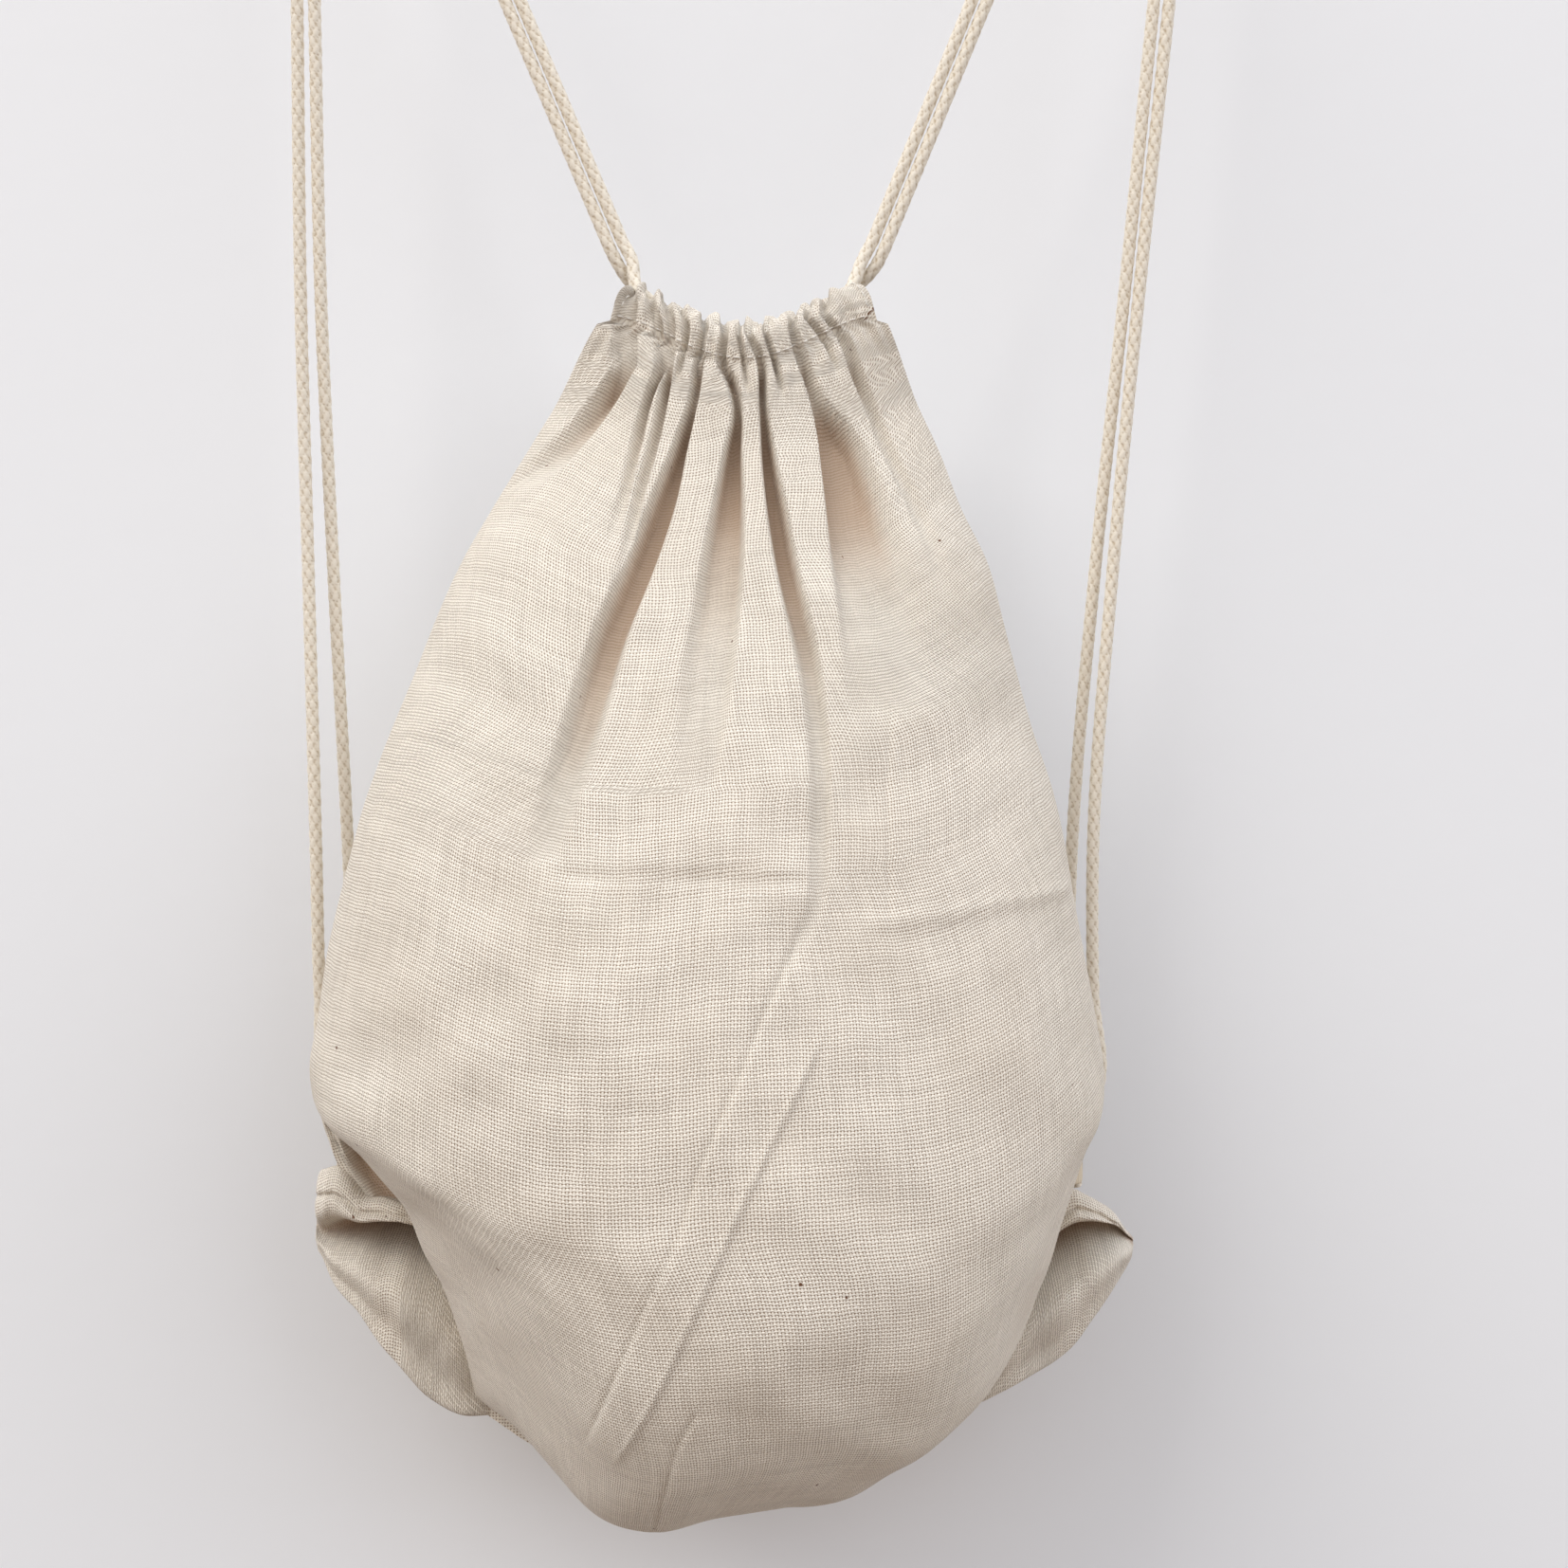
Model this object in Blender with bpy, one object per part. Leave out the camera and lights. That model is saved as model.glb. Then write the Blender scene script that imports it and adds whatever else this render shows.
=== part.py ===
# A drawstring backpack of cotton canvas, hanging by its two strap cords from a pair of pegs.
# Metres, +Z up. The origin lies midway between the two points where the straps bear on their pegs.
# The front of the bag faces -Y, the wearer's back is at +Y, and +X is to the right of the front view.

import math

import bpy
import numpy as np
from mathutils import Matrix, Vector

# Overall sizes
PEG_SPAN = 0.284            # between the two pegs
BODY_WIDTH = 0.2692         # across the side seams at the widest level
BODY_DEPTH_FRONT = 0.094    # how far the stuffed front bulges from the side seams
BODY_DEPTH_BACK = 0.094     # the same at the back, before the wall flattens it
BACK_FLAT = 0.080           # where the back lies flat against a wall or a wearer
FRONT_ROUNDNESS = 0.5       # power of the cross-section: 0.5 is an ellipse
BACK_ROUNDNESS = 0.70       # and more is slimmer towards the side seams
BODY_HEIGHT = 0.3987        # tops of the side seams to the bottom seam, at the middle
SIDE_HEIGHT = 0.3104        # tops of the side seams to the corners
BODY_LEAN = -0.0115         # sideways shift of the stuffed body from the neck
CORNER_LEAN = -0.0064       # and of its corners

# Neck and casing
NECK_DROP = 0.2365          # pegs down to the cords where they leave the casing
NECK_WIDTH = 0.098          # panels at the rim, between the side seams
NECK_DEPTH = 0.019          # panels at the rim, from the seams to the middle
CASING_LENGTH = 0.080
CASING_HEIGHT = 0.016
FRONT_DIP = 0.0165          # the front rim hangs lower at the middle than at its ends
BACK_DIP = 0.0055           # and the back rim, held up by the wall, less so
CASING_BOW = 0.011          # and stands further out there
CASING_WALL = 0.0010
CHANNEL_RISE = 0.0025       # cords above the middle of the tunnel
RIM_HINGE_RISE = 0.0014     # height of the opening rims' axis above the cords in the casings

# Cloth, seams and corners
PANEL_WALL = 0.0010
SEAM_WIDTH = 0.008
SEAM_THICKNESS = 0.0014
NOTCH_LEVEL = 0.923         # share of the side seam where the corner loops pull it in
WIDEST_LEVEL = 0.831
NOTCH_DEPTH = 0.0133        # how far the seam is pulled in there
EAR_REACH = 0.0179          # how far the folded corner stands out again

# Cords, tape and thread
CORD_DIAMETER = 0.0045
PEG_RADIUS = 0.00375
PIVOT_GAP = 0.005           # bare stretch where a strap twists above the neck
KNOT_RADIUS = 0.0065
TAIL_LENGTH = 0.020
TAPE_THICKNESS = 0.0010
TAPE_WIDTH = 0.012
EYE_CLEARANCE = 0.0006      # between the two strands and the loop around them
CORD_STUB = 0.0012          # straight stretch at a cord's cut ends
STRAND_GRIP = 0.009         # how far the strands run straight on either side of the loop
THREAD_DIAMETER = 0.0007
TACK_REACH = 0.006          # from a corner loop's root to its stitches
TACK_SHARE = 0.38           # of the tape's width, on either side of its middle

# Cords where they leave the casings, in cord diameters unless a comment says otherwise
LEAD_ASIDE_FRONT = 0.78     # how far a lead swings out past the casing's end
LEAD_ASIDE_BACK = 1.45
LEAD_NARROWING = 0.84       # share of its first distance from the middle that a lead keeps
LEAD_LOW = 1.2
LEAD_HIGH = 2.8
LEAD_SPREAD = 1.9           # in channel offsets
LEAD_CLOSE = 0.9
TURN_WIDE = 2.1             # reach of the turn of the cord in the outer channels
TURN_TIGHT = 1.0            # and in the inner ones
TURN_DROP = 1.2
TAIL_LEAN = 0.12            # how far a tail's first stretch leans inwards, of its length
TAIL_SPREAD = 0.42          # and forwards or backwards
LOOP_WRAP = 152             # degrees from the middle of the eye to where the tape's legs meet
LOOP_CLOSE = 1.9            # in eye radii from the eye's middle, where the legs run side by side
LOOP_FLARE = 1.35           # and where they begin to part
LOOP_FLARE_WIDTH = 0.0009   # extra distance there, in metres

# Clearances
TOUCH = 0.0003              # between pieces that touch
SEAM_CLEARANCE = 0.0011     # between a seam allowance and the panels around it
SLIDE_CLEARANCE = 0.0004    # between the cords and the tunnel that they slide in

# Strap routes from just above the corner loop to just below the peg, as chosen by hand
LEFT_OUTER = [(-0.1478, 0.0275, -0.5056), (-0.1489, 0.0225, -0.4710), (-0.1491, 0.0180, -0.4220),
              (-0.1505, 0.0130, -0.3248), (-0.1519, 0.0080, -0.2288), (-0.1520, 0.0040, -0.1328),
              (-0.1522, 0.0012, -0.0600)]
LEFT_INNER = [(-0.1392, 0.0385, -0.5056), (-0.1400, 0.0355, -0.4710), (-0.1408, 0.0300, -0.4220),
              (-0.1435, 0.0200, -0.3248), (-0.1455, 0.0100, -0.2288), (-0.1462, 0.0045, -0.1328),
              (-0.1472, 0.0014, -0.0600)]
RIGHT_OUTER = [(0.1240, 0.0290, -0.5056), (0.1220, 0.0250, -0.4710), (0.1211, 0.0205, -0.4220),
               (0.1268, 0.0140, -0.3248), (0.1350, 0.0085, -0.2288), (0.1442, 0.0040, -0.1328),
               (0.1512, 0.0012, -0.0600)]
RIGHT_INNER = [(0.1155, 0.0395, -0.5056), (0.1148, 0.0360, -0.4710), (0.1152, 0.0300, -0.4220),
               (0.1216, 0.0200, -0.3248), (0.1302, 0.0100, -0.2288), (0.1390, 0.0045, -0.1328),
               (0.1460, 0.0014, -0.0600)]

# Where the straps are tied: the middles of the corner loops' eyes
TAB_LEFT = np.array((-0.1395, 0.0340, -0.5330))
TAB_RIGHT = np.array((0.1170, 0.0340, -0.5330))

# Levels and places that follow from the sizes above
CHANNEL_OFFSET = (CORD_DIAMETER + TOUCH) / 2
BOW_SLOPE = 1.54 * CASING_BOW / (CASING_LENGTH / 2)
CASING_INNER = (CHANNEL_OFFSET + CORD_DIAMETER / 2 + SLIDE_CLEARANCE) * math.hypot(1, BOW_SLOPE)
CASING_HALF = CASING_INNER + CASING_WALL
CASING_END_Y = CASING_HALF + TOUCH
CASING_END_Z = -NECK_DROP - CHANNEL_RISE
SIDE_TOP_Z = CASING_END_Z - CASING_HEIGHT / 2 - TOUCH
RIM_HINGE_Z = -NECK_DROP + RIM_HINGE_RISE
EXIT_LEFT = np.array((-CASING_LENGTH / 2 - 0.0035, 0.0, -NECK_DROP + 0.0215))
EXIT_RIGHT = np.array((CASING_LENGTH / 2 + 0.0055, 0.0, -NECK_DROP + 0.0215))

# Levels of the panels' rows of faces, closer together towards the bottom
PANEL_ROWS = 20
PANEL_LEVELS = np.sin(np.linspace(0, np.pi / 2, PANEL_ROWS + 1)) ** 1.15

CLOTH = ("cotton canvas", (0.79, 0.72, 0.63), 0.92)
CORD = ("braided cotton cord", (0.83, 0.79, 0.71), 0.88)
TAPE = ("cotton tape", (0.80, 0.74, 0.65), 0.9)
THREAD = ("cotton thread", (0.88, 0.86, 0.82), 0.7)


def clear_scene():
    for thing in list(bpy.data.objects):
        bpy.data.objects.remove(thing, do_unlink=True)


def finish(thing, finish_of):
    """Give the object its own material, of one of the finishes above."""
    title, colour, roughness = finish_of
    material = bpy.data.materials.new(f"{title} of {thing.name}")
    material.use_nodes = True
    shader = material.node_tree.nodes["Principled BSDF"]
    shader.inputs["Base Color"].default_value = (*colour, 1.0)
    shader.inputs["Roughness"].default_value = roughness
    shader.inputs["Metallic"].default_value = 0.0
    thing.data.materials.append(material)


def mesh_object(name, points, faces, finish_of, smooth=True):
    mesh = bpy.data.meshes.new(name)
    mesh.from_pydata(np.asarray(points).tolist(), [], faces)
    mesh.update()
    if smooth:
        mesh.shade_smooth()
        mesh.set_sharp_from_angle(angle=math.radians(50))
    thing = bpy.data.objects.new(name, mesh)
    bpy.context.scene.collection.objects.link(thing)
    finish(thing, finish_of)
    return thing


def grid_faces(columns, rows, start=0, flip=False):
    """Quads of a grid of rows x columns points, stored row after row."""
    faces = []
    for j in range(rows - 1):
        for i in range(columns - 1):
            a = start + j * columns + i
            quad = (a, a + 1, a + columns + 1, a + columns)
            faces.append(quad[::-1] if flip else quad)
    return faces


def ring_faces(around, rows, start=0, flip=False):
    """Quads between closed rings of points."""
    faces = []
    for j in range(rows - 1):
        for i in range(around):
            a = start + j * around + i
            b = start + j * around + (i + 1) % around
            quad = (a, b, b + around, a + around)
            faces.append(quad[::-1] if flip else quad)
    return faces


def smooth_curve(points, spacing):
    """Points read from a centripetal Catmull-Rom curve through the given ones, evenly spaced."""
    points = np.asarray(points, dtype=float)
    ends = (2 * points[0] - points[1], 2 * points[-1] - points[-2])
    padded = np.vstack((ends[0], points, ends[1]))
    knots = np.concatenate(([0], np.cumsum(np.linalg.norm(np.diff(padded, axis=0), axis=1) ** 0.5)))
    dense = []
    for k in range(1, len(padded) - 2):
        times = np.linspace(knots[k], knots[k + 1], 24, endpoint=False)
        dense.append(catmull_rom(padded[k - 1:k + 3], knots[k - 1:k + 3], times))
    dense = np.vstack(dense + [points[-1:]])
    run = np.concatenate(([0], np.cumsum(np.linalg.norm(np.diff(dense, axis=0), axis=1))))
    count = max(3, int(round(run[-1] / spacing)) + 1)
    places = np.linspace(0, run[-1], count)
    return np.stack([np.interp(places, run, dense[:, axis]) for axis in range(3)], axis=1)


def catmull_rom(corners, knots, times):
    """Barry and Goldman's pyramid: each round blends neighbours over its own span of knots."""
    t = times[:, None]
    level = list(corners)
    for spans in (((0, 1), (1, 2), (2, 3)), ((0, 2), (1, 3)), ((1, 2),)):
        shares = [(t - knots[a]) / (knots[b] - knots[a]) for a, b in spans]
        level = [(1 - share) * level[k] + share * level[k + 1] for k, share in enumerate(shares)]
    return level[0]


def tube(name, points, diameter, finish_of, resolution=2):
    """A round tube along the points, closed at both ends."""
    curve = bpy.data.curves.new(name, "CURVE")
    curve.dimensions = "3D"
    curve.bevel_depth = diameter / 2
    curve.bevel_resolution = resolution
    curve.use_fill_caps = True
    spline = curve.splines.new("POLY")
    spline.points.add(len(points) - 1)
    for place, point in zip(spline.points, points):
        place.co = (*point, 1.0)
    thing = bpy.data.objects.new(name, curve)
    bpy.context.scene.collection.objects.link(thing)
    finish(thing, finish_of)
    return thing


def body_centre(v):
    """Sideways place of the body's middle: it leans over within the upper part, and back again
    towards the corners."""
    v = np.asarray(v, dtype=float)
    t = np.clip(v / 0.45, 0, 1)
    back = np.clip((v - WIDEST_LEVEL) / (1 - WIDEST_LEVEL), 0, 1)
    return BODY_LEAN * t * t * (3 - 2 * t) + (CORNER_LEAN - BODY_LEAN) * back


def body_half(v):
    """Half-width between the side seams. From the rim it swells as a quarter sine to the widest
    level, the corner loop pulls it in along a cosine, and the ear stands out again."""
    v = np.asarray(v, dtype=float)
    neck = NECK_WIDTH / 2
    widest = BODY_WIDTH / 2
    swell = neck + (widest - neck) * np.sin(np.pi / 2 * np.clip(v / WIDEST_LEVEL, 0, 1))
    pull = np.clip((v - WIDEST_LEVEL) / (NOTCH_LEVEL - WIDEST_LEVEL), 0, 1)
    ear = np.clip((v - NOTCH_LEVEL) / (1 - NOTCH_LEVEL), 0, 1)
    return swell - NOTCH_DEPTH * (1 - np.cos(np.pi * pull)) / 2 + EAR_REACH * np.sin(np.pi / 2 * ear)


def body_depth(v, bulge):
    """Depth at the middle: a sine from the rim to the deepest level, then a rounded bottom."""
    v = np.asarray(v, dtype=float)
    deepest = 0.74
    upper = NECK_DEPTH + (bulge - NECK_DEPTH) * np.sin(np.pi / 2 * np.clip(v / deepest, 0, 1)) ** 1.1
    lower = np.clip((v - deepest) / (1 - deepest), 0, 1)
    return np.where(v < deepest, upper, bulge * np.sqrt(1 - lower ** 2.2))


def body_levels(s, v, dip=0.0, rise=0.0):
    """Height of the cloth: between the dipping rim and the rounded bottom seam."""
    rim = SIDE_TOP_Z - dip * (1 - np.minimum(1, (s * NECK_WIDTH / CASING_LENGTH) ** 2))
    corner = SIDE_TOP_Z - SIDE_HEIGHT
    bottom = corner - (BODY_HEIGHT - SIDE_HEIGHT) * (1 - np.abs(s) ** 1.8) + rise
    return (1 - v) * rim + v * bottom


def body_surface(s, v, side, bulge, inset=0.0):
    """One face of the body. s runs -1..1 between the side seams and v 0..1 from rim to bottom;
    side is -1 for the front and +1 for the back. The cross-section goes from a pointed oval at
    the rim to a rounder one below, y = depth * (1 - s^2)^roundness."""
    half = body_half(v) - inset
    depth = body_depth(v, bulge)
    depth = depth * (1 - inset / (depth + 2 * PANEL_WALL))
    full = FRONT_ROUNDNESS if side < 0 else BACK_ROUNDNESS
    roundness = full + (0.8 - full) * np.clip(1 - v / 0.2, 0, 1)
    out = depth * np.clip(1 - s * s, 0, 1) ** roundness
    if side > 0:
        out = np.minimum(out, BACK_FLAT - inset)
    x = body_centre(v) + half * s
    dip = FRONT_DIP if side < 0 else BACK_DIP
    return np.stack((x, side * (TOUCH / 2 + out), body_levels(s, v, dip, inset)), axis=-1)


def panel(name, side, bulge):
    """A thin curved shell: an outer and an inner face, joined all round their edges."""
    across, down = 18, PANEL_ROWS
    s = -np.cos(np.linspace(0, np.pi, across + 1))
    v = PANEL_LEVELS
    grid_s, grid_v = np.meshgrid(s, v)
    outer = body_surface(grid_s, grid_v, side, bulge).reshape(-1, 3)
    inner = body_surface(grid_s, grid_v, side, bulge, PANEL_WALL).reshape(-1, 3)
    columns, rows = across + 1, down + 1
    count = columns * rows
    faces = grid_faces(columns, rows, 0, flip=side < 0)
    faces += grid_faces(columns, rows, count, flip=side > 0)
    border = [i for i in range(columns)]
    border += [j * columns + across for j in range(1, rows)]
    border += [down * columns + i for i in range(across - 1, -1, -1)]
    border += [j * columns for j in range(down - 1, 0, -1)]
    for a, b in zip(border, border[1:] + border[:1]):
        quad = (a, b, b + count, a + count)
        faces.append(quad if side < 0 else quad[::-1])
    return mesh_object(name, np.vstack((outer, inner)), faces, CLOTH)


def strip(name, rail_a, rail_b, finish_of, thickness):
    """A flat band between two rails that lie in the plane y = 0."""
    lift = np.array((0, thickness / 2, 0))
    rings = np.stack((rail_a - lift, rail_b - lift, rail_b + lift, rail_a + lift), axis=1)
    rows = len(rings)
    faces = ring_faces(4, rows)
    faces.append((3, 2, 1, 0))
    faces.append(tuple((rows - 1) * 4 + k for k in range(4)))
    return mesh_object(name, rings.reshape(-1, 3), outward(rings.reshape(-1, 3), faces), finish_of, False)


def outward(points, faces):
    """Turn all the faces round if the closed shape they make is inside out."""
    points = np.asarray(points, dtype=float)
    volume = 0.0
    for face in faces:
        for k in range(1, len(face) - 1):
            a, b, c = points[face[0]], points[face[k]], points[face[k + 1]]
            volume += float(np.dot(a, np.cross(b, c)))
    return faces if volume > 0 else [face[::-1] for face in faces]


def side_seam(name, side):
    """The seam allowance inside a side seam, from below the casing to above the corner."""
    v = PANEL_LEVELS[(PANEL_LEVELS > 0.12) & (PANEL_LEVELS < 0.94)]
    edge = body_half(v) - PANEL_WALL - SEAM_CLEARANCE
    z = body_levels(np.ones_like(v), v)
    outer = np.stack((body_centre(v) + side * edge, 0 * v, z), axis=1)
    inner = np.stack((body_centre(v) + side * (edge - SEAM_WIDTH), 0 * v, z), axis=1)
    return strip(name, outer, inner, CLOTH, SEAM_THICKNESS)


def bottom_seam():
    """The seam allowance along the bottom, turned up inside the bag."""
    s = np.linspace(-0.88, 0.88, 24)
    ones = np.ones_like(s)
    x = body_centre(ones) + body_half(ones) * s
    z = body_levels(s, ones) + PANEL_WALL * 2 + SEAM_CLEARANCE
    low = np.stack((x, 0 * x, z), axis=1)
    high = np.stack((x, 0 * x, z + SEAM_WIDTH), axis=1)
    return strip("bottom_seam", low, high, CLOTH, SEAM_THICKNESS)


def casing_centre(x, side):
    """Middle of the tunnel: at both ends it runs level and along X, so that an opened rim turns
    in its own end planes. bow and dip share the weight (1 - s^2)^2."""
    s = np.clip(np.abs(np.asarray(x, dtype=float)) / (CASING_LENGTH / 2), 0, 1)
    weight = (1 - s * s) ** 2
    y = side * (CASING_END_Y + CASING_BOW * weight)
    return y, CASING_END_Z - (FRONT_DIP if side < 0 else BACK_DIP) * weight


def casing_face(offset):
    """How far the casing's outer face stands from its middle plane, at a height above its middle."""
    share = np.clip(np.abs(offset) / (CASING_HEIGHT / 2), 0, 1)
    return CASING_HALF * (1 - share ** 3) ** (1 / 3)


def casing(name, side):
    """The folded and sewn rim: an oval tunnel with open ends, y^3 and z^3 in its outline."""
    stations, around = 13, 14
    x = np.linspace(-CASING_LENGTH / 2, CASING_LENGTH / 2, stations)
    y, z = casing_centre(x, side)
    turn = np.linspace(0, 2 * np.pi, around, endpoint=False)
    oval = np.stack((np.sign(np.cos(turn)) * np.abs(np.cos(turn)) ** (2 / 3),
                     np.sign(np.sin(turn)) * np.abs(np.sin(turn)) ** (2 / 3)))
    rings = []
    for wall in (0.0, CASING_WALL):
        half, tall = CASING_HALF - wall, CASING_HEIGHT / 2 - wall
        ring = np.empty((stations, around, 3))
        ring[..., 0] = x[:, None]
        ring[..., 1] = y[:, None] + half * oval[0]
        ring[..., 2] = z[:, None] + tall * oval[1]
        rings.append(ring.reshape(-1, 3))
    count = stations * around
    faces = ring_faces(around, stations) + ring_faces(around, stations, count, flip=True)
    last = (stations - 1) * around
    for i in range(around):
        j = (i + 1) % around
        faces.append((i, i + count, j + count, j))
        faces.append((last + i, last + j, last + j + count, last + i + count))
    points = np.vstack(rings)
    return mesh_object(name, points, outward(points, faces), CLOTH)


def hem_thread(name, side):
    """The line of stitching along the foot of the casing."""
    x = np.linspace(-CASING_LENGTH / 2 + 0.005, CASING_LENGTH / 2 - 0.005, 21)
    y, z = casing_centre(x, side)
    drop = 0.75 * CASING_HEIGHT / 2
    slope = np.gradient(y, x)
    out = (casing_face(drop) + THREAD_DIAMETER / 2 + TOUCH * 1.5) * np.hypot(1, slope)
    return tube(name, np.stack((x, y + side * out, z - drop), axis=1), THREAD_DIAMETER, THREAD, 1)


def casing_tack(name, side, end):
    """The short row of stitches that closes the casing's stitching beside its open end."""
    x = end * (CASING_LENGTH / 2 - 0.0030)
    y, z = casing_centre(x, side)
    rise = np.linspace(0.6, -0.6, 7) * CASING_HEIGHT / 2
    out = casing_face(rise) + THREAD_DIAMETER / 2 + TOUCH * 1.5
    points = np.stack((np.full_like(rise, x), y + side * out, z + rise), axis=1)
    return tube(name, points, THREAD_DIAMETER, THREAD, 1)


def cord_run(name, side, channel):
    """A cord's stretch inside a casing. channel is +1 on its outer side and -1 on its inner.
    The two cords keep their distance square to the bow as well."""
    half = CASING_LENGTH / 2
    x = np.linspace(-half, half, 13)
    x = np.concatenate((x[:1], x[:1] + CORD_STUB, x[1:-1], x[-1:] - CORD_STUB, x[-1:]))
    y, z = casing_centre(x, side)
    slope = 4 * CASING_BOW * x / half ** 2 * (1 - (x / half) ** 2)
    y = y + side * channel * CHANNEL_OFFSET * np.hypot(1, slope)
    y[1], z[1] = y[0], z[0]
    y[-2], z[-2] = y[-1], z[-1]
    return tube(name, np.stack((x, y, z + CHANNEL_RISE), axis=1), CORD_DIAMETER, CORD)


def cord_turn(name, end, channel, reach):
    """Where a cord comes out at the far end of the front casing and goes back in behind."""
    half = CASING_END_Y + channel * CHANNEL_OFFSET
    start = CASING_LENGTH / 2 + TOUCH
    phi = np.linspace(0, np.pi, 11)
    x = np.concatenate(((start,), start + CORD_STUB + reach * np.sin(phi), (start,)))
    y = -half * np.cos(phi)
    y = np.concatenate((y[:1], y, y[-1:]))
    drop = CORD_DIAMETER * TURN_DROP * np.sin(phi) ** 2
    z = -NECK_DROP - np.concatenate(((0,), drop, (0,)))
    return tube(name, np.stack((end * x, y, z), axis=1), CORD_DIAMETER, CORD)


def swing_axis(exit_point, tab):
    """Direction of a strap's own axis, from its corner loop up to the neck."""
    axis = exit_point - tab
    return axis / np.linalg.norm(axis)


def strap_line(exit_point, end):
    """Where a strap runs between the neck and its peg: the direction up, and the direction
    across it to the strand that lies on top. It is the tangent to the strap's middle line
    over the peg."""
    peg = np.array((end * PEG_SPAN / 2, 0, -PEG_RADIUS))
    reach = np.linalg.norm(peg - exit_point)
    up = (peg - exit_point) / reach
    top = np.array((-end * up[2], 0, end * up[0]))
    sine = (PEG_RADIUS + CORD_DIAMETER + TOUCH / 2) / reach
    cosine = math.sqrt(1 - sine * sine)
    return cosine * up + sine * top, cosine * top - sine * up


def cord_lead(name, end, side, channel, exit_point):
    """From the open end of a casing, out and up to where the strap begins to swing. The front
    lead goes on into the strand on top and the back one into the strand below it."""
    start = np.array((end * (CASING_LENGTH / 2 + TOUCH),
                      side * (CASING_END_Y + channel * CHANNEL_OFFSET), -NECK_DROP))
    along, top = strap_line(exit_point, end)
    last = exit_point - side * CHANNEL_OFFSET * top
    stub = start + (end * CORD_STUB, 0, 0)
    aside = CASING_LENGTH / 2 + CORD_DIAMETER * (LEAD_ASIDE_FRONT if side < 0 else LEAD_ASIDE_BACK)
    low = np.array((end * aside, start[1] * LEAD_NARROWING, -NECK_DROP + CORD_DIAMETER * LEAD_LOW))
    high = np.array((end * aside, side * CHANNEL_OFFSET * LEAD_SPREAD,
                     -NECK_DROP + CORD_DIAMETER * LEAD_HIGH))
    near = last - along * CORD_DIAMETER * LEAD_CLOSE + (0, side * CHANNEL_OFFSET / 2, 0)
    points = smooth_curve([stub, low, high, near, last - along * CORD_STUB, last], CORD_DIAMETER * 0.6)
    return tube(name, np.vstack((start, points)), CORD_DIAMETER, CORD)


def kept_apart(route, other):
    """The route of a strand, with each point moved away from the strand beside it as far as two
    cords side by side need. Where the chosen points leave that room already they stay as they are."""
    route, other = np.array(route), np.array(other)
    middle = (route + other) / 2
    distance = np.linalg.norm(route - other, axis=1)
    share = np.maximum(1.0, (CORD_DIAMETER + 2 * TOUCH / 3) / distance)
    return middle + (route - middle) * share[:, None]


def strand(name, end, over, route, exit_point, tab):
    """One strand of a strap: knot, corner loop, up to the peg, over it and down to the neck.
    The strand with over = True is the outer one at the loop and lies on top over the peg."""
    axis = swing_axis(exit_point, tab)
    beside = np.array((end, 0.0, 0.0)) * (1 if over else -1)
    beside = beside - axis * float(np.dot(beside, axis))
    apart = beside / np.linalg.norm(beside) * CHANNEL_OFFSET
    beside = tab + apart
    along, top = strap_line(exit_point, end)
    radius = PEG_RADIUS + CORD_DIAMETER / 2 + (CORD_DIAMETER + TOUCH if over else 0)
    last = exit_point + (1 if over else -1) * CHANNEL_OFFSET * top + along * PIVOT_GAP
    peg = np.array((end * PEG_SPAN / 2, 0, -PEG_RADIUS))
    leave = math.atan2(top[2], end * top[0])
    turn = np.linspace(math.radians(-6), leave, 11)
    arc = peg + radius * np.stack((end * np.cos(turn), 0 * turn, np.sin(turn)), axis=1)
    leaving = tab + 1.15 * apart + axis * STRAND_GRIP
    climb = [leaving] + [np.array(point) for point in route] + [arc[0]]
    climb = smooth_curve(climb, CORD_DIAMETER * 2.6)
    steps = int(np.linalg.norm(last - arc[-1]) / (CORD_DIAMETER * 3))
    fall = arc[-1] + np.linspace(0, 1, steps + 1)[1:, None] * (last - arc[-1])
    points = np.vstack((beside - axis * STRAND_GRIP, beside, climb, arc[1:], fall))
    return tube(name, points, CORD_DIAMETER, CORD)


def knot(name, exit_point, tab):
    """The overhand knot below the corner loop, centred on the strap's axis."""
    axis = swing_axis(exit_point, tab)
    centre = tab - axis * (STRAND_GRIP + TOUCH + KNOT_RADIUS)
    rings, around = 9, 14
    theta = np.linspace(0, np.pi, rings)[1:-1]
    phi = np.linspace(0, 2 * np.pi, around, endpoint=False)
    grid = np.stack((np.outer(np.sin(theta), np.cos(phi)), np.outer(np.sin(theta), np.sin(phi)),
                     np.outer(np.cos(theta), np.ones_like(phi))), axis=-1).reshape(-1, 3)
    points = np.vstack((grid, (0, 0, 1), (0, 0, -1))) * KNOT_RADIUS + centre
    count = (rings - 2) * around
    faces = ring_faces(around, rings - 2)
    for i in range(around):
        j = (i + 1) % around
        faces.append((j, i, count))
        faces.append((count - around + i, count - around + j, count + 1))
    return mesh_object(name, points, outward(points, faces), CORD), centre


def cord_tail(name, centre, direction):
    """A free cord end below the knot, hanging straight down."""
    direction = np.array(direction, dtype=float)
    direction = direction / np.linalg.norm(direction)
    start = centre + direction * (KNOT_RADIUS + TOUCH)
    points = [start, start + direction * 0.004, start + direction * 0.008 + (0, 0, -0.001)]
    points.append(start + direction * 0.4 * TAIL_LENGTH + (0, 0, -0.6 * TAIL_LENGTH))
    return tube(name, smooth_curve(points, 0.0035), CORD_DIAMETER, CORD)


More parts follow.
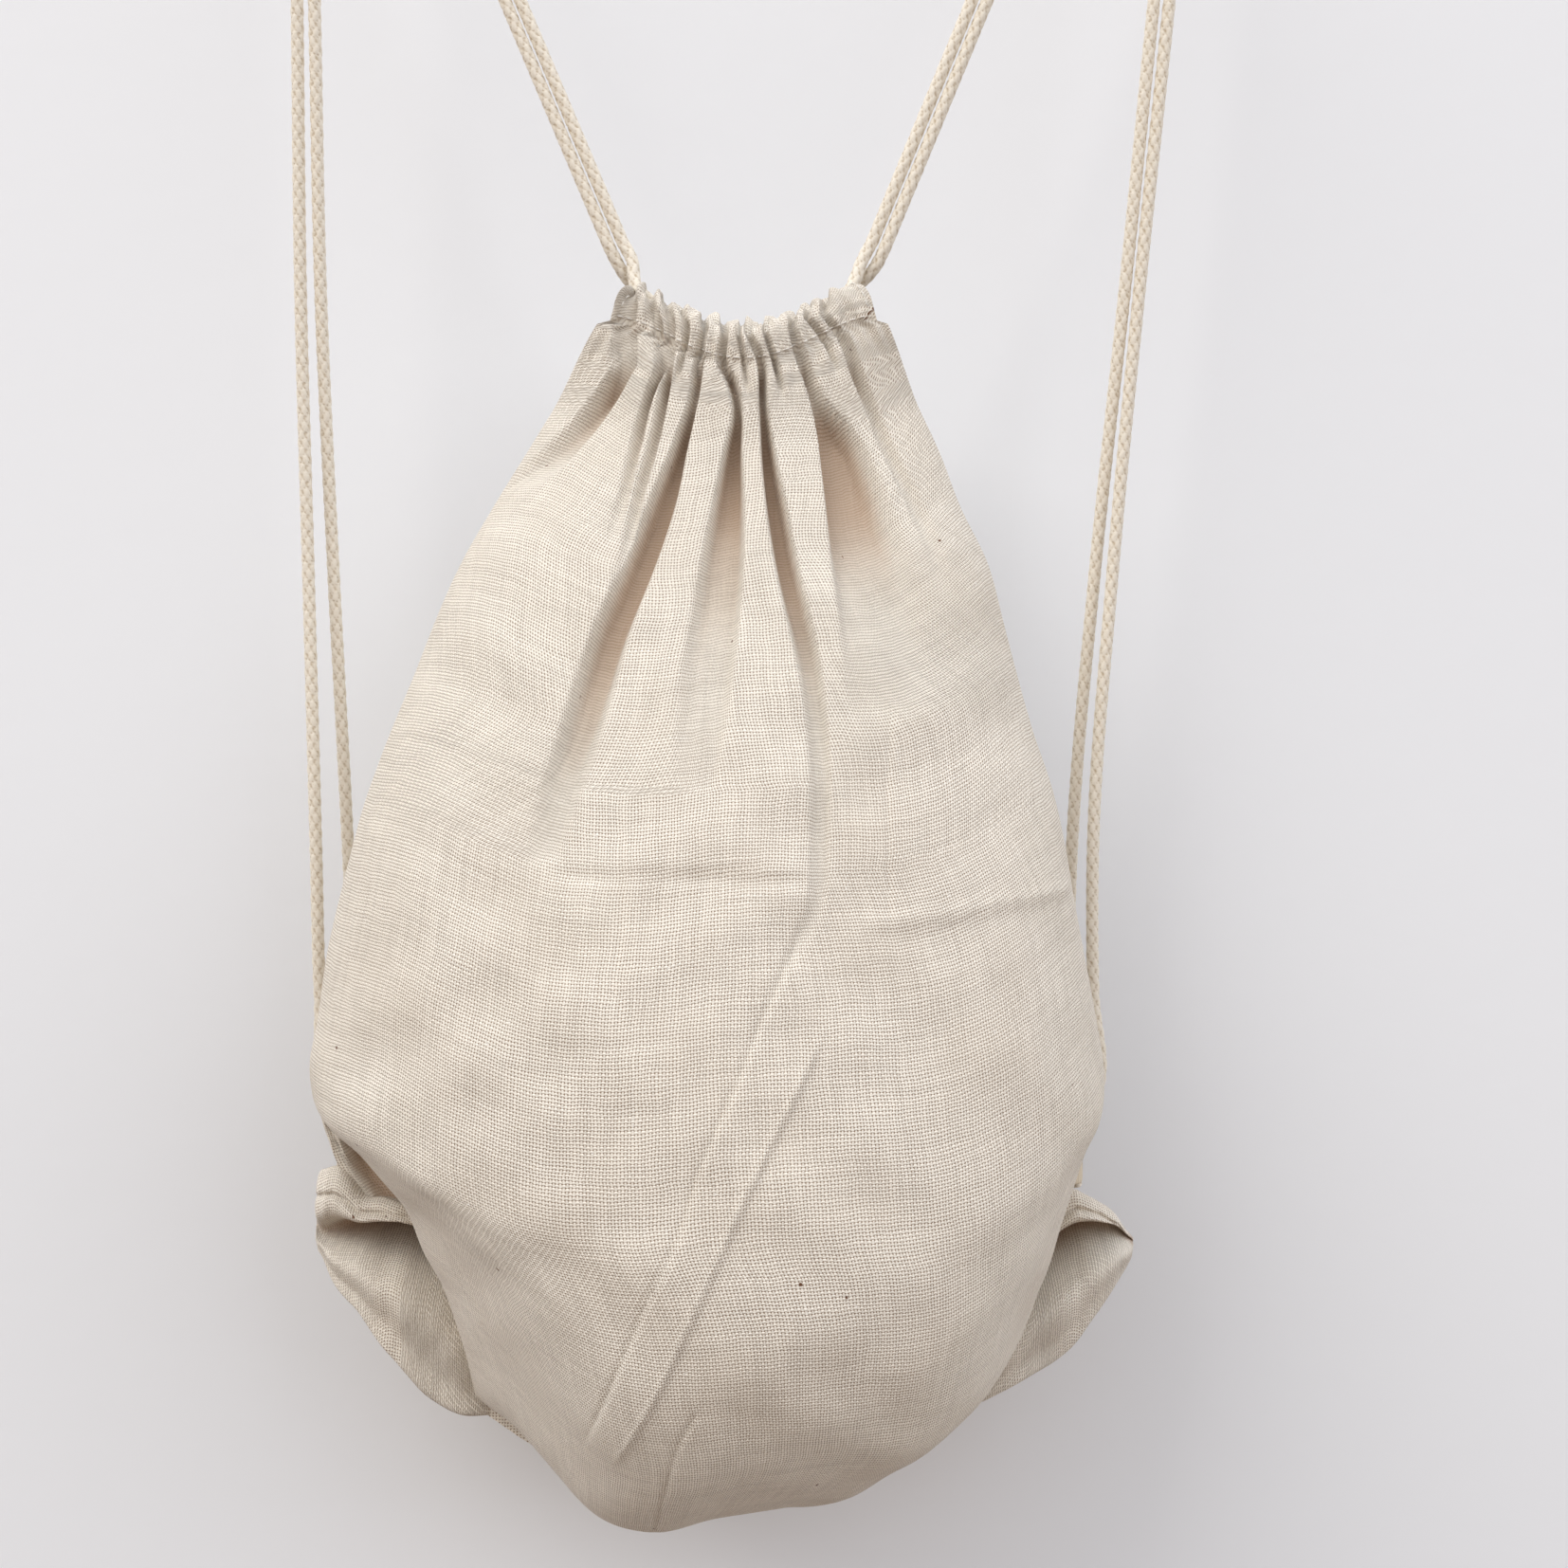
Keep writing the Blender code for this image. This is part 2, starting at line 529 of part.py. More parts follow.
def tab_base(end, tab):
    """Where the corner loop leaves the side seam: clear of the seam over the tape's width."""
    level = (SIDE_TOP_Z - (tab[2] + np.linspace(-0.6, 0.6, 9) * TAPE_WIDTH)) / SIDE_HEIGHT
    reach = np.max(end * body_centre(level) + body_half(level))
    gap = TAPE_THICKNESS * 1.5 + TOUCH * 3
    return np.array((end * (reach + gap), TOUCH, tab[2]))


def corner_tab(name, end, tab, axis):
    """A loop of cotton tape: two legs sewn together that open into an eye around the strands,
    which lean through it along their swing axis. The outline is the tape's middle line seen
    from above, thickened and as tall as the tape."""
    base = tab_base(end, tab)
    along = np.array((tab[0] - base[0], tab[1] - base[1], 0.0))
    length = np.linalg.norm(along)
    along = along / length
    across = np.array((-along[1], along[0], 0.0))
    lean = math.hypot(axis[0], axis[1]) / axis[2]
    eye = (CORD_DIAMETER + TOUCH / 2) / axis[2] + lean * TAPE_WIDTH / 2
    eye += EYE_CLEARANCE + TAPE_THICKNESS / 2
    leg = TAPE_THICKNESS / 2 + TOUCH
    turn = np.radians(np.linspace(LOOP_WRAP, -LOOP_WRAP, 21))
    close, flare = length - eye * LOOP_CLOSE, length - eye * LOOP_FLARE
    middle = [(0.0, leg), (close, leg), (flare, leg + LOOP_FLARE_WIDTH)]
    middle += [(length + eye * math.cos(t), eye * math.sin(t)) for t in turn]
    middle += [(flare, -leg - LOOP_FLARE_WIDTH), (close, -leg), (0.0, -leg)]
    middle = np.array(middle)
    tangent = np.gradient(middle, axis=0)
    tangent = tangent / np.linalg.norm(tangent, axis=1)[:, None]
    normal = np.stack((-tangent[:, 1], tangent[:, 0]), axis=1) * TAPE_THICKNESS / 2
    corners = []
    for line, height in ((middle + normal, -1), (middle - normal, -1), (middle - normal, 1),
                         (middle + normal, 1)):
        flat = base + line[:, :1] * along + line[:, 1:] * across
        corners.append(flat + (0, 0, height * TAPE_WIDTH / 2))
    rings = np.stack(corners, axis=1)
    rows = len(rings)
    faces = ring_faces(4, rows) + [(3, 2, 1, 0), tuple((rows - 1) * 4 + k for k in range(4))]
    points = rings.reshape(-1, 3)
    return mesh_object(name, points, outward(points, faces), TAPE, False)


def tab_tack(name, end, tab):
    """Stitches across the sewn legs of a corner loop, on their outer side."""
    base = tab_base(end, tab)
    along = np.array((tab[0] - base[0], tab[1] - base[1], 0.0))
    along = along / np.linalg.norm(along)
    outward_side = np.array((along[1], -along[0], 0.0)) * end
    lift = TAPE_THICKNESS + TOUCH * 2 + THREAD_DIAMETER / 2
    place = base + along * TACK_REACH + outward_side * lift
    rise = np.linspace(-TACK_SHARE, TACK_SHARE, 5) * TAPE_WIDTH
    points = place + np.stack((0 * rise, 0 * rise, rise), axis=1)
    return tube(name, points, THREAD_DIAMETER, THREAD, 1)


def build_bag():
    panel("front_panel", -1, BODY_DEPTH_FRONT)
    panel("back_panel", 1, BODY_DEPTH_BACK)
    bottom_seam()
    for side, label in ((-1, "front"), (1, "back")):
        casing(f"{label}_casing", side)
        hem_thread(f"{label}_hem_thread", side)
        for end, place in ((-1, "left"), (1, "right")):
            casing_tack(f"{label}_{place}_tack", side, end)


def build_side(end):
    """The seam, loop, cord and knot of one side; end is -1 at the left and +1 at the right."""
    place = "left" if end < 0 else "right"
    exit_point = EXIT_LEFT if end < 0 else EXIT_RIGHT
    tab = TAB_LEFT if end < 0 else TAB_RIGHT
    outer_route = LEFT_OUTER if end < 0 else RIGHT_OUTER
    inner_route = LEFT_INNER if end < 0 else RIGHT_INNER
    channel = 1 if end < 0 else -1      # the left cord lies on the outer side of both casings
    cord = f"{place}_cord"
    side_seam(f"{place}_side_seam", end)
    corner_tab(f"{place}_corner_tab", end, tab, swing_axis(exit_point, tab))
    tab_tack(f"{place}_tab_tack", end, tab)
    for side, label in ((-1, "front"), (1, "back")):
        cord_run(f"{cord}_{label}_run", side, channel)
        cord_lead(f"{cord}_{label}_lead", end, side, channel, exit_point)
    cord_turn(f"{cord}_turn", -end, channel, CORD_DIAMETER * (TURN_WIDE if channel > 0 else TURN_TIGHT))
    strand(f"{cord}_outer_strand", end, True, kept_apart(outer_route, inner_route), exit_point, tab)
    strand(f"{cord}_inner_strand", end, False, kept_apart(inner_route, outer_route), exit_point, tab)
    centre = knot(f"{place}_knot", exit_point, tab)[1]
    cord_tail(f"{place}_tail_a", centre, (-end * TAIL_LEAN, TAIL_SPREAD, -0.9))
    cord_tail(f"{place}_tail_b", centre, (-end * TAIL_LEAN, -TAIL_SPREAD, -0.9))


def turn_on(name, place, pieces):
    """An empty on a joint's axis, with the pieces that turn about it hung on it."""
    empty = bpy.data.objects.new(name, None)
    empty.location = place
    empty.empty_display_size = 0.02
    bpy.context.scene.collection.objects.link(empty)
    for piece in pieces:
        thing = bpy.data.objects[piece]
        thing.parent = empty
        thing.matrix_parent_inverse = Matrix.Translation(-Vector(place))


clear_scene()
build_bag()
build_side(-1)
build_side(1)
for label in ("front", "back"):
    rim = [f"{label}_casing", f"{label}_hem_thread", f"{label}_left_tack", f"{label}_right_tack",
           f"left_cord_{label}_run", f"right_cord_{label}_run"]
    turn_on(f"{label}_rim_hinge", (0, 0, RIM_HINGE_Z), rim)
for place, tab in (("left", TAB_LEFT), ("right", TAB_RIGHT)):
    turn_on(f"{place}_strap_pivot", tab, [f"{place}_cord_outer_strand", f"{place}_cord_inner_strand"])
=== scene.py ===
# A drawstring backpack of natural cotton canvas, hanging stuffed against a white wall by its two cord straps.
# Metres, +Z up. The bag's front faces -Y, the wall stands behind it at +Y, and the pegs lie at z = 0.
import math

import bpy
import numpy as np
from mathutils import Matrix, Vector


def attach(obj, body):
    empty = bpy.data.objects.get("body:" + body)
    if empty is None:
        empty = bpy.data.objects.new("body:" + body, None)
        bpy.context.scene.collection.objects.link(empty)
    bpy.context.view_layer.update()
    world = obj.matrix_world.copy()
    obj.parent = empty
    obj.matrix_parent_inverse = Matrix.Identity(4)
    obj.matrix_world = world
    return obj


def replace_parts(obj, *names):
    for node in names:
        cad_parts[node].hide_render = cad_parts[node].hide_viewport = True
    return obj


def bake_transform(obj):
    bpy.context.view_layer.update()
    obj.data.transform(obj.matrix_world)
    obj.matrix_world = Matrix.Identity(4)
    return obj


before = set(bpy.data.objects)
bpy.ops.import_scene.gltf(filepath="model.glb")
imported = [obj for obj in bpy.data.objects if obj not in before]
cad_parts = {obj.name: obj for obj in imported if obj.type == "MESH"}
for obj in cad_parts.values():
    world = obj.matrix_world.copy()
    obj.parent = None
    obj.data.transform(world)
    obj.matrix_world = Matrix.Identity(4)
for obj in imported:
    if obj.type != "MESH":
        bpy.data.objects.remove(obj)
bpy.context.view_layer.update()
print("frame loaded")


# small helpers
def colour(code):
    # sRGB hex to linear: ((c + 0.055) / 1.055) ^ 2.4, or c / 12.92 in the darkest part
    parts = [int(code[k:k + 2], 16) / 255 for k in (1, 3, 5)]
    return [c / 12.92 if c <= 0.04045 else ((c + 0.055) / 1.055) ** 2.4 for c in parts] + [1.0]


def ease(t):
    # 3 t^2 - 2 t^3 between 0 and 1
    t = np.clip(t, 0, 1)
    return t * t * (3 - 2 * t)


def spline(x, knots):
    # cubic Hermite pieces whose slopes are the central differences of the knots, held at both ends
    knots = np.asarray(knots, float)
    knots = knots[np.argsort(knots[:, 0])]
    kx, ky = knots[:, 0], knots[:, 1:]
    slope = np.gradient(ky, kx, axis=0)
    k = np.clip(np.searchsorted(kx, x) - 1, 0, len(kx) - 2)
    span = (kx[k + 1] - kx[k])[..., None]
    t = np.clip((np.asarray(x) - kx[k])[..., None] / span, 0, 1)
    rise = (2 * t ** 3 - 3 * t ** 2 + 1) * ky[k] + (3 * t ** 2 - 2 * t ** 3) * ky[k + 1]
    bend = (t ** 3 - 2 * t ** 2 + t) * span * slope[k] + (t ** 3 - t ** 2) * span * slope[k + 1]
    return rise + bend


def smoothCurve(points, spacing):
    # the same pieces over the chord length, read again at even steps of arc length
    points = np.asarray(points, float)
    chord = np.concatenate(([0], np.cumsum(np.linalg.norm(np.diff(points, axis=0), axis=1))))
    dense = spline(np.linspace(0, chord[-1], 40 * len(points)), np.column_stack((chord, points)))
    run = np.concatenate(([0], np.cumsum(np.linalg.norm(np.diff(dense, axis=0), axis=1))))
    places = np.linspace(0, run[-1], max(4, int(round(run[-1] / spacing)) + 1))
    return np.stack([np.interp(places, run, dense[:, axis]) for axis in range(3)], axis=1)


def unit(v):
    return v / np.maximum(np.linalg.norm(v, axis=-1, keepdims=True), 1e-12)


def gridNormals(points):
    # cross product of the two directions in which the grid runs
    return unit(np.cross(np.gradient(points, axis=1), np.gradient(points, axis=0)))


def makePiece(name, points, quads, caps, material, values=None, uv=None):
    mesh = bpy.data.meshes.new(name)
    mesh.from_pydata(points.reshape(-1, 3).tolist(), [], quads.tolist() + caps)
    for key, value in (values or {}).items():
        mesh.attributes.new(key, "FLOAT", "POINT").data.foreach_set("value", value.ravel().astype(np.float32))
    if uv is not None:
        corners = np.empty(len(mesh.loops), np.int32)
        mesh.loops.foreach_get("vertex_index", corners)
        layer = mesh.uv_layers.new(name="cloth")
        layer.data.foreach_set("uv", uv.reshape(-1, 2)[corners].astype(np.float32).ravel())
    mesh.shade_smooth()
    mesh.materials.append(material)
    thing = bpy.data.objects.new(name, mesh)
    bpy.context.scene.collection.objects.link(thing)
    return thing


def gridPiece(name, points, material, uv, values, flip=False):
    # an open sheet: quads between neighbouring rows and columns
    rows, columns = points.shape[:2]
    a = (np.arange(rows - 1)[:, None] * columns + np.arange(columns - 1)).ravel()
    quads = np.stack((a, a + 1, a + columns + 1, a + columns), axis=1)
    return makePiece(name, points, quads[:, ::-1] if flip else quads, [], material, values, uv)


def loopPiece(name, loops, material, values=None, flip=False, uv=None):
    # a closed body: quads between neighbouring rings, and one face over each end
    rows, around = loops.shape[:2]
    a = np.arange(rows - 1)[:, None] * around + np.arange(around)
    b = np.arange(rows - 1)[:, None] * around + (np.arange(around) + 1) % around
    quads = np.stack((a, b, b + around, a + around), axis=-1).reshape(-1, 4)
    caps = [list(range(around))[::-1], list(range((rows - 1) * around, rows * around))]
    if flip:
        quads, caps = quads[:, ::-1], [cap[::-1] for cap in caps]
    return makePiece(name, loops, quads, caps, material, values, uv)


# materials
def newMaterial(name):
    material = bpy.data.materials.new(name)
    material.use_nodes = True
    return material, material.node_tree, material.node_tree.nodes["Principled BSDF"]


def node(tree, kind, inputs=None, **settings):
    made = tree.nodes.new("ShaderNode" + kind)
    for key, value in settings.items():
        setattr(made, key, value)
    for key, value in (inputs or {}).items():
        if isinstance(value, bpy.types.NodeSocket):
            tree.links.new(value, made.inputs[key])
        else:
            made.inputs[key].default_value = value
    return made


def maths(tree, operation, *values):
    made = node(tree, "Math", dict(enumerate(values)), operation=operation)
    return made.outputs[0]


def mixColour(tree, share, first, second, blend="MIX"):
    made = node(tree, "Mix", None, data_type="RGBA", blend_type=blend)
    for socket, value in ((made.inputs[0], share), (made.inputs[6], first), (made.inputs[7], second)):
        if isinstance(value, bpy.types.NodeSocket):
            tree.links.new(value, socket)
        else:
            socket.default_value = value
    return made.outputs[2]


def rampValue(tree, value, low, high, first=0.0, last=1.0):
    return node(tree, "MapRange", {0: value, 1: low, 2: high, 3: first, 4: last},
                interpolation_type="SMOOTHSTEP").outputs[0]


canvasLook = {
    "base": "#f3ecdf",       # unbleached cotton
    "deep": "#8b6f56",       # what shows between the threads
    "pale": "#f4eee4",       # slubs and nubs of bleached fibre
    "fleck": "#6d4a33",      # bits of seed husk
    "paintedFoldShade": "#b8926f",     # painted shade: deep in a fold, where only light from other cloth comes in
    "pitch": 0.00105,        # real threads lie 0.95 mm apart, and are drawn a little coarser to show
    "unevenness": 0.09,      # change of tone from thread to thread
    "relief": 0.00034,
    "blot": "#d8cab7",       # faint uneven patches in the undyed yarn
    "wander": 1.3,           # how far threads stray, in pitches
}


def canvas(name, onCad=False):
    # plain weave: the sign of sin(pi u) sin(pi v) says which thread lies on top in each cell
    look = canvasLook
    material, tree, shader = newMaterial(name)
    if onCad:
        place = node(tree, "TexCoord").outputs["Object"]
        split = node(tree, "SeparateXYZ", {0: place})
        across, along = split.outputs[0], split.outputs[2]
    else:
        place = node(tree, "UVMap", None, uv_map="cloth").outputs[0]
        split = node(tree, "SeparateXYZ", {0: place})
        across, along = split.outputs[0], split.outputs[1]
    u = maths(tree, "DIVIDE", across, look["pitch"])
    v = maths(tree, "DIVIDE", along, look["pitch"])
    both = node(tree, "CombineXYZ", {0: u, 1: v}).outputs[0]
    wander = node(tree, "TexNoise", {"Vector": both, "Scale": 0.11, "Detail": 1.0}).outputs["Color"]
    drift = node(tree, "SeparateXYZ", {0: wander})
    u = maths(tree, "MULTIPLY_ADD", drift.outputs[0], look["wander"], u)     # threads stray
    v = maths(tree, "MULTIPLY_ADD", drift.outputs[1], look["wander"], v)
    roundU = maths(tree, "SINE", maths(tree, "MULTIPLY", u, math.pi))
    roundV = maths(tree, "SINE", maths(tree, "MULTIPLY", v, math.pi))
    over = rampValue(tree, maths(tree, "MULTIPLY", roundU, roundV), -0.25, 0.25)
    sizeU, sizeV = maths(tree, "ABSOLUTE", roundU), maths(tree, "ABSOLUTE", roundV)
    warp = node(tree, "CombineXYZ", {0: maths(tree, "MULTIPLY", maths(tree, "FLOOR", u), 3.7),
                                     1: maths(tree, "MULTIPLY", v, 0.035)}).outputs[0]
    weft = node(tree, "CombineXYZ", {0: maths(tree, "MULTIPLY", u, 0.035), 2: 11.0,
                                     1: maths(tree, "MULTIPLY", maths(tree, "FLOOR", v), 3.7)}).outputs[0]
    warpTone = node(tree, "TexNoise", {"Vector": warp, "Scale": 1.0, "Detail": 2.0}).outputs[0]
    weftTone = node(tree, "TexNoise", {"Vector": weft, "Scale": 1.0, "Detail": 2.0}).outputs[0]
    tone = maths(tree, "ADD", maths(tree, "MULTIPLY", warpTone, over),
                 maths(tree, "MULTIPLY", weftTone, maths(tree, "SUBTRACT", 1.0, over)))
    height = maths(tree, "ADD", maths(tree, "MULTIPLY", sizeU, over),
                   maths(tree, "MULTIPLY", sizeV, maths(tree, "SUBTRACT", 1.0, over)))
    gap = maths(tree, "MULTIPLY", maths(tree, "SUBTRACT", 1.0, sizeU), maths(tree, "SUBTRACT", 1.0, sizeV))
    hole = rampValue(tree, maths(tree, "ADD", gap, maths(tree, "MULTIPLY", tone, -0.4)), -0.10, 0.22)
    slub = rampValue(tree, tone, 0.64, 0.76)
    dark = maths(tree, "MULTIPLY", hole, 0.90)
    shade = mixColour(tree, dark, colour(look["base"]), colour(look["deep"]))
    lit = rampValue(tree, tone, 0.3, 0.7, 1 - look["unevenness"], 1 + look["unevenness"] * 0.55)
    shade = mixColour(tree, 1.0, shade, node(tree, "CombineColor", {0: lit, 1: lit, 2: lit}).outputs[0],
                      "MULTIPLY")
    shade = mixColour(tree, maths(tree, "MULTIPLY", slub, 0.45), shade, colour(look["pale"]))
    blot = node(tree, "TexNoise", {"Vector": both, "Scale": 0.022, "Detail": 3.0}).outputs[0]
    shade = mixColour(tree, rampValue(tree, blot, 0.35, 0.8, 0.0, 0.22), shade, colour(look["blot"]))
    for size, limit, reach, tint in ((13.0, 0.80, 0.060, look["fleck"]), (7.0, 0.62, 0.075, look["pale"])):
        cells = node(tree, "TexVoronoi", {"Vector": both, "Scale": 1 / size})
        chance = node(tree, "SeparateXYZ", {0: cells.outputs["Color"]}).outputs[0]
        chosen = maths(tree, "GREATER_THAN", chance, limit)
        spot = rampValue(tree, cells.outputs["Distance"], reach * 0.5, reach, 1.0, 0.0)
        shade = mixColour(tree, maths(tree, "MULTIPLY", spot, chosen), shade, colour(tint))
    if not onCad:
        # painted shade: the fold attribute tints the cloth brown deep in its folds
        fold = node(tree, "Attribute", None, attribute_name="fold").outputs["Fac"]
        shade = mixColour(tree, maths(tree, "MULTIPLY", fold, 0.62), shade, colour(look["paintedFoldShade"]))
    raised = maths(tree, "ADD", height, maths(tree, "MULTIPLY", slub, 0.8))
    bump = node(tree, "Bump", {"Strength": 0.75, "Distance": look["relief"], "Height": raised})
    tree.links.new(shade, shader.inputs["Base Color"])
    tree.links.new(bump.outputs[0], shader.inputs["Normal"])
    shader.inputs["Roughness"].default_value = 0.93
    shader.inputs["Specular IOR Level"].default_value = 0.2
    shader.inputs["Sheen Weight"].default_value = 0.12
    shader.inputs["Sheen Roughness"].default_value = 0.5
    return material


def cordCotton(name):
    # braided cotton: painted shade makes the grooves between the lobes darker and the lobes' tops pale
    material, tree, shader = newMaterial(name)
    height = node(tree, "Attribute", None, attribute_name="braid").outputs["Fac"]
    place = node(tree, "TexCoord").outputs["Object"]
    fibre = node(tree, "TexNoise", {"Vector": place, "Scale": 1500.0, "Detail": 3.0}).outputs[0]
    # painted shade: darker in the braid's grooves, paler on its tops
    shade = mixColour(tree, rampValue(tree, height, 0.0, 0.75), colour("#b7a488"), colour("#ebe3d4"))
    shade = mixColour(tree, rampValue(tree, fibre, 0.45, 0.75, 0.0, 0.30), shade, colour("#cfc1a8"))
    bump = node(tree, "Bump", {"Strength": 0.35, "Distance": 0.0002, "Height": fibre})
    tree.links.new(shade, shader.inputs["Base Color"])
    tree.links.new(bump.outputs[0], shader.inputs["Normal"])
    shader.inputs["Roughness"].default_value = 0.9
    shader.inputs["Sheen Weight"].default_value = 0.15
    return material


def plainCotton(name, code, ribs):
    # fine ribs, drawn as a band pattern at their real distance
    material, tree, shader = newMaterial(name)
    place = node(tree, "TexCoord").outputs["Object"]
    bands = node(tree, "TexWave", {"Vector": place, "Scale": 0.314 / ribs, "Distortion": 1.5})
    shade = mixColour(tree, rampValue(tree, bands.outputs["Fac"], 0.0, 1.0, 0.0, 0.35), colour(code),
                      colour("#a8977c"))
    tree.links.new(shade, shader.inputs["Base Color"])
    bump = node(tree, "Bump", {"Strength": 0.4, "Distance": 0.0002, "Height": bands.outputs["Fac"]})
    tree.links.new(bump.outputs[0], shader.inputs["Normal"])
    shader.inputs["Roughness"].default_value = 0.85
    return material


bagCanvas = canvas("natural cotton canvas in plain weave")
innerCanvas = canvas("cotton canvas of the seams", onCad=True)
braidedCotton = cordCotton("braided cotton cord")
cottonTape = plainCotton("cotton twill tape", "#dccfb9", 0.0009)
whiteThread = plainCotton("white cotton thread", "#efece6", 0.0004)
print("materials made")

# camera
view = {"place": (0.0134, -0.62, -0.39744), "seen": 0.52928, "sensor": 36.0}
cameraData = bpy.data.cameras.new("camera")
cameraData.sensor_width = view["sensor"]
# lens / sensor = distance / width seen
cameraData.lens = view["sensor"] * -view["place"][1] / view["seen"]
camera = bpy.data.objects.new("camera", cameraData)
camera.location = view["place"]
camera.rotation_euler = (math.pi / 2, 0, 0)
bpy.context.scene.collection.objects.link(camera)
bpy.context.scene.camera = camera

# cords
cords = {
    "diameter": 0.0045, "gap": 0.0003, "pegSpan": 0.284, "pegRadius": 0.00375, "neckDrop": 0.2365,
    "pivotGap": 0.005, "grip": 0.009, "stub": 0.0012, "casingLength": 0.080, "endY": 0.00696,
    "exit": {-1: np.array((-0.0435, 0.0, -0.2150)), 1: np.array((0.0455, 0.0, -0.2150))},
    "tab": {-1: np.array((-0.1395, 0.0340, -0.5330)), 1: np.array((0.1170, 0.0340, -0.5330))},
    "tabShift": {-1: np.array((0.0, 0.0, 0.0)), 1: np.array((-0.0035, 0.0, 0.0))},
    "rimZ": -0.239, "bow": 0.011,        # height of the casing's ends, and how far its middle stands out
    "dip": {-1: 0.0165, 1: 0.0055},      # how far the casing sags in the middle, front and back
    "runHalf": 0.0265, "runGap": 0.0003, # half of a run inside its casing, and the gap to its lead
    "toLeaf": 0.0016, "underTop": 0.0012,  # the runs lie against the inner leaf, below the casing's top
    "around": 20, "step": 0.00042,
    "repeat": 0.0056,        # one chevron of the plait
    "lobes": 4, "groove": 0.22,
    "knotRadius": 0.0065, "tailLength": 0.020,
}
halfPair = (cords["diameter"] + cords["gap"]) / 2
routes = {      # from just above the corner loop to just below the peg
    (-1, True): [(-0.1478, 0.0275, -0.5056), (-0.1489, 0.0225, -0.4710), (-0.1491, 0.0180, -0.4220),
                 (-0.1505, 0.0130, -0.3248), (-0.1519, 0.0080, -0.2288), (-0.1520, 0.0040, -0.1328),
                 (-0.1522, 0.0012, -0.0600)],
    (-1, False): [(-0.1392, 0.0385, -0.5056), (-0.1400, 0.0355, -0.4710), (-0.1408, 0.0300, -0.4220),
                  (-0.1435, 0.0200, -0.3248), (-0.1455, 0.0100, -0.2288), (-0.1462, 0.0045, -0.1328),
                  (-0.1472, 0.0014, -0.0600)],
    (1, True): [(0.1240, 0.0290, -0.5056), (0.1220, 0.0250, -0.4710), (0.1211, 0.0205, -0.4220),
                (0.1268, 0.0140, -0.3248), (0.1350, 0.0085, -0.2288), (0.1442, 0.0040, -0.1328),
                (0.1512, 0.0012, -0.0600)],
    (1, False): [(0.1155, 0.0395, -0.5056), (0.1148, 0.0360, -0.4710), (0.1152, 0.0300, -0.4220),
                 (0.1216, 0.0200, -0.3248), (0.1302, 0.0100, -0.2288), (0.1390, 0.0045, -0.1328),
                 (0.1460, 0.0014, -0.0600)],
}


def braidedTube(name, path, twist=0.0, aside=(0, 1, 0)):
    # rings square to the path; radius = r (1 - groove (1 - h)), where h is the top thread of two
    # families of helices p = n (a + k l) / 2 pi and q = n (a - k l) / 2 pi woven over and under
    radius = cords["diameter"] / 2
    forward = unit(np.gradient(path, axis=0))
    sideways = unit(np.cross(forward, np.array(aside, float)))
    upward = np.cross(sideways, forward)
    run = np.concatenate(([0], np.cumsum(np.linalg.norm(np.diff(path, axis=0), axis=1))))
    angle = np.linspace(0, 2 * np.pi, cords["around"], endpoint=False)
    ringAngle, ringRun = np.meshgrid(angle, run)
    p = cords["lobes"] * (ringAngle + twist) / (2 * np.pi) + ringRun / cords["repeat"]
    q = cords["lobes"] * (ringAngle + twist) / (2 * np.pi) - ringRun / cords["repeat"]
    rounded, arched = np.abs(np.sin(np.pi * p)), np.abs(np.sin(np.pi * q))
    even = (np.floor(p) + np.floor(q)) % 2 < 0.5
    top, under = np.where(even, rounded, arched), np.where(even, arched, rounded)
    height = top ** 0.6 * (0.55 + 0.45 * under ** 0.5)
    spread = radius * (1 - cords["groove"] * (1 - height))
    ends = np.minimum(ringRun, run[-1] - ringRun)
    spread = spread * np.sqrt(np.clip(ends / 0.0006, 0.02, 1))      # the cut ends are closed round
    loops = path[:, None] + spread[..., None] * (np.cos(ringAngle)[..., None] * sideways[:, None]
                                                 + np.sin(ringAngle)[..., None] * upward[:, None])
    thing = loopPiece(name, loops, braidedCotton, {"braid": height})
    return thing


def strapLine(end):
    # the tangent to the strap's middle line over the peg
    peg = np.array((end * cords["pegSpan"] / 2, 0, -cords["pegRadius"]))
    reach = np.linalg.norm(peg - cords["exit"][end])
    up = (peg - cords["exit"][end]) / reach
    top = np.array((-end * up[2], 0, end * up[0]))
    sine = (cords["pegRadius"] + cords["diameter"] + cords["gap"] / 2) / reach
    cosine = math.sqrt(1 - sine * sine)
    return cosine * up + sine * top, cosine * top - sine * up


def tunnelPlace(side, channel, x):
    # where a cord lies in a casing: y and z follow (1 - (x / half casing)^2)^2 between the open ends
    weight = (1 - (x / (cords["casingLength"] / 2)) ** 2) ** 2
    y = side * (cords["endY"] + cords["bow"] * weight - cords["toLeaf"]) + 0 * x
    z = cords["rimZ"] - cords["dip"][side] * weight - cords["underTop"] + channel * halfPair
    return np.stack((x + 0 * weight, y, z), axis=-1)


def leadPoints(end, side):
    # out of the open end of a casing, past its short inner leaf, and up to where the strap begins
    channel = 1 if end < 0 else -1
    thick = cords["diameter"]
    start = tunnelPlace(side, channel, np.float64(end * cords["runHalf"])) + (end * cords["runGap"], 0, 0)
    along, top = strapLine(end)
    last = cords["exit"][end] - side * halfPair * top
    low = np.array((end * 0.0318, side * 0.0062, -0.2366 + channel * 0.0009))
    high = np.array((end * 0.0358, side * 0.0042, -0.2312))
    near = last - along * thick * 1.5 + (-end * 0.0006, side * halfPair * 0.4, 0)
    return [start, low, high, near, last]


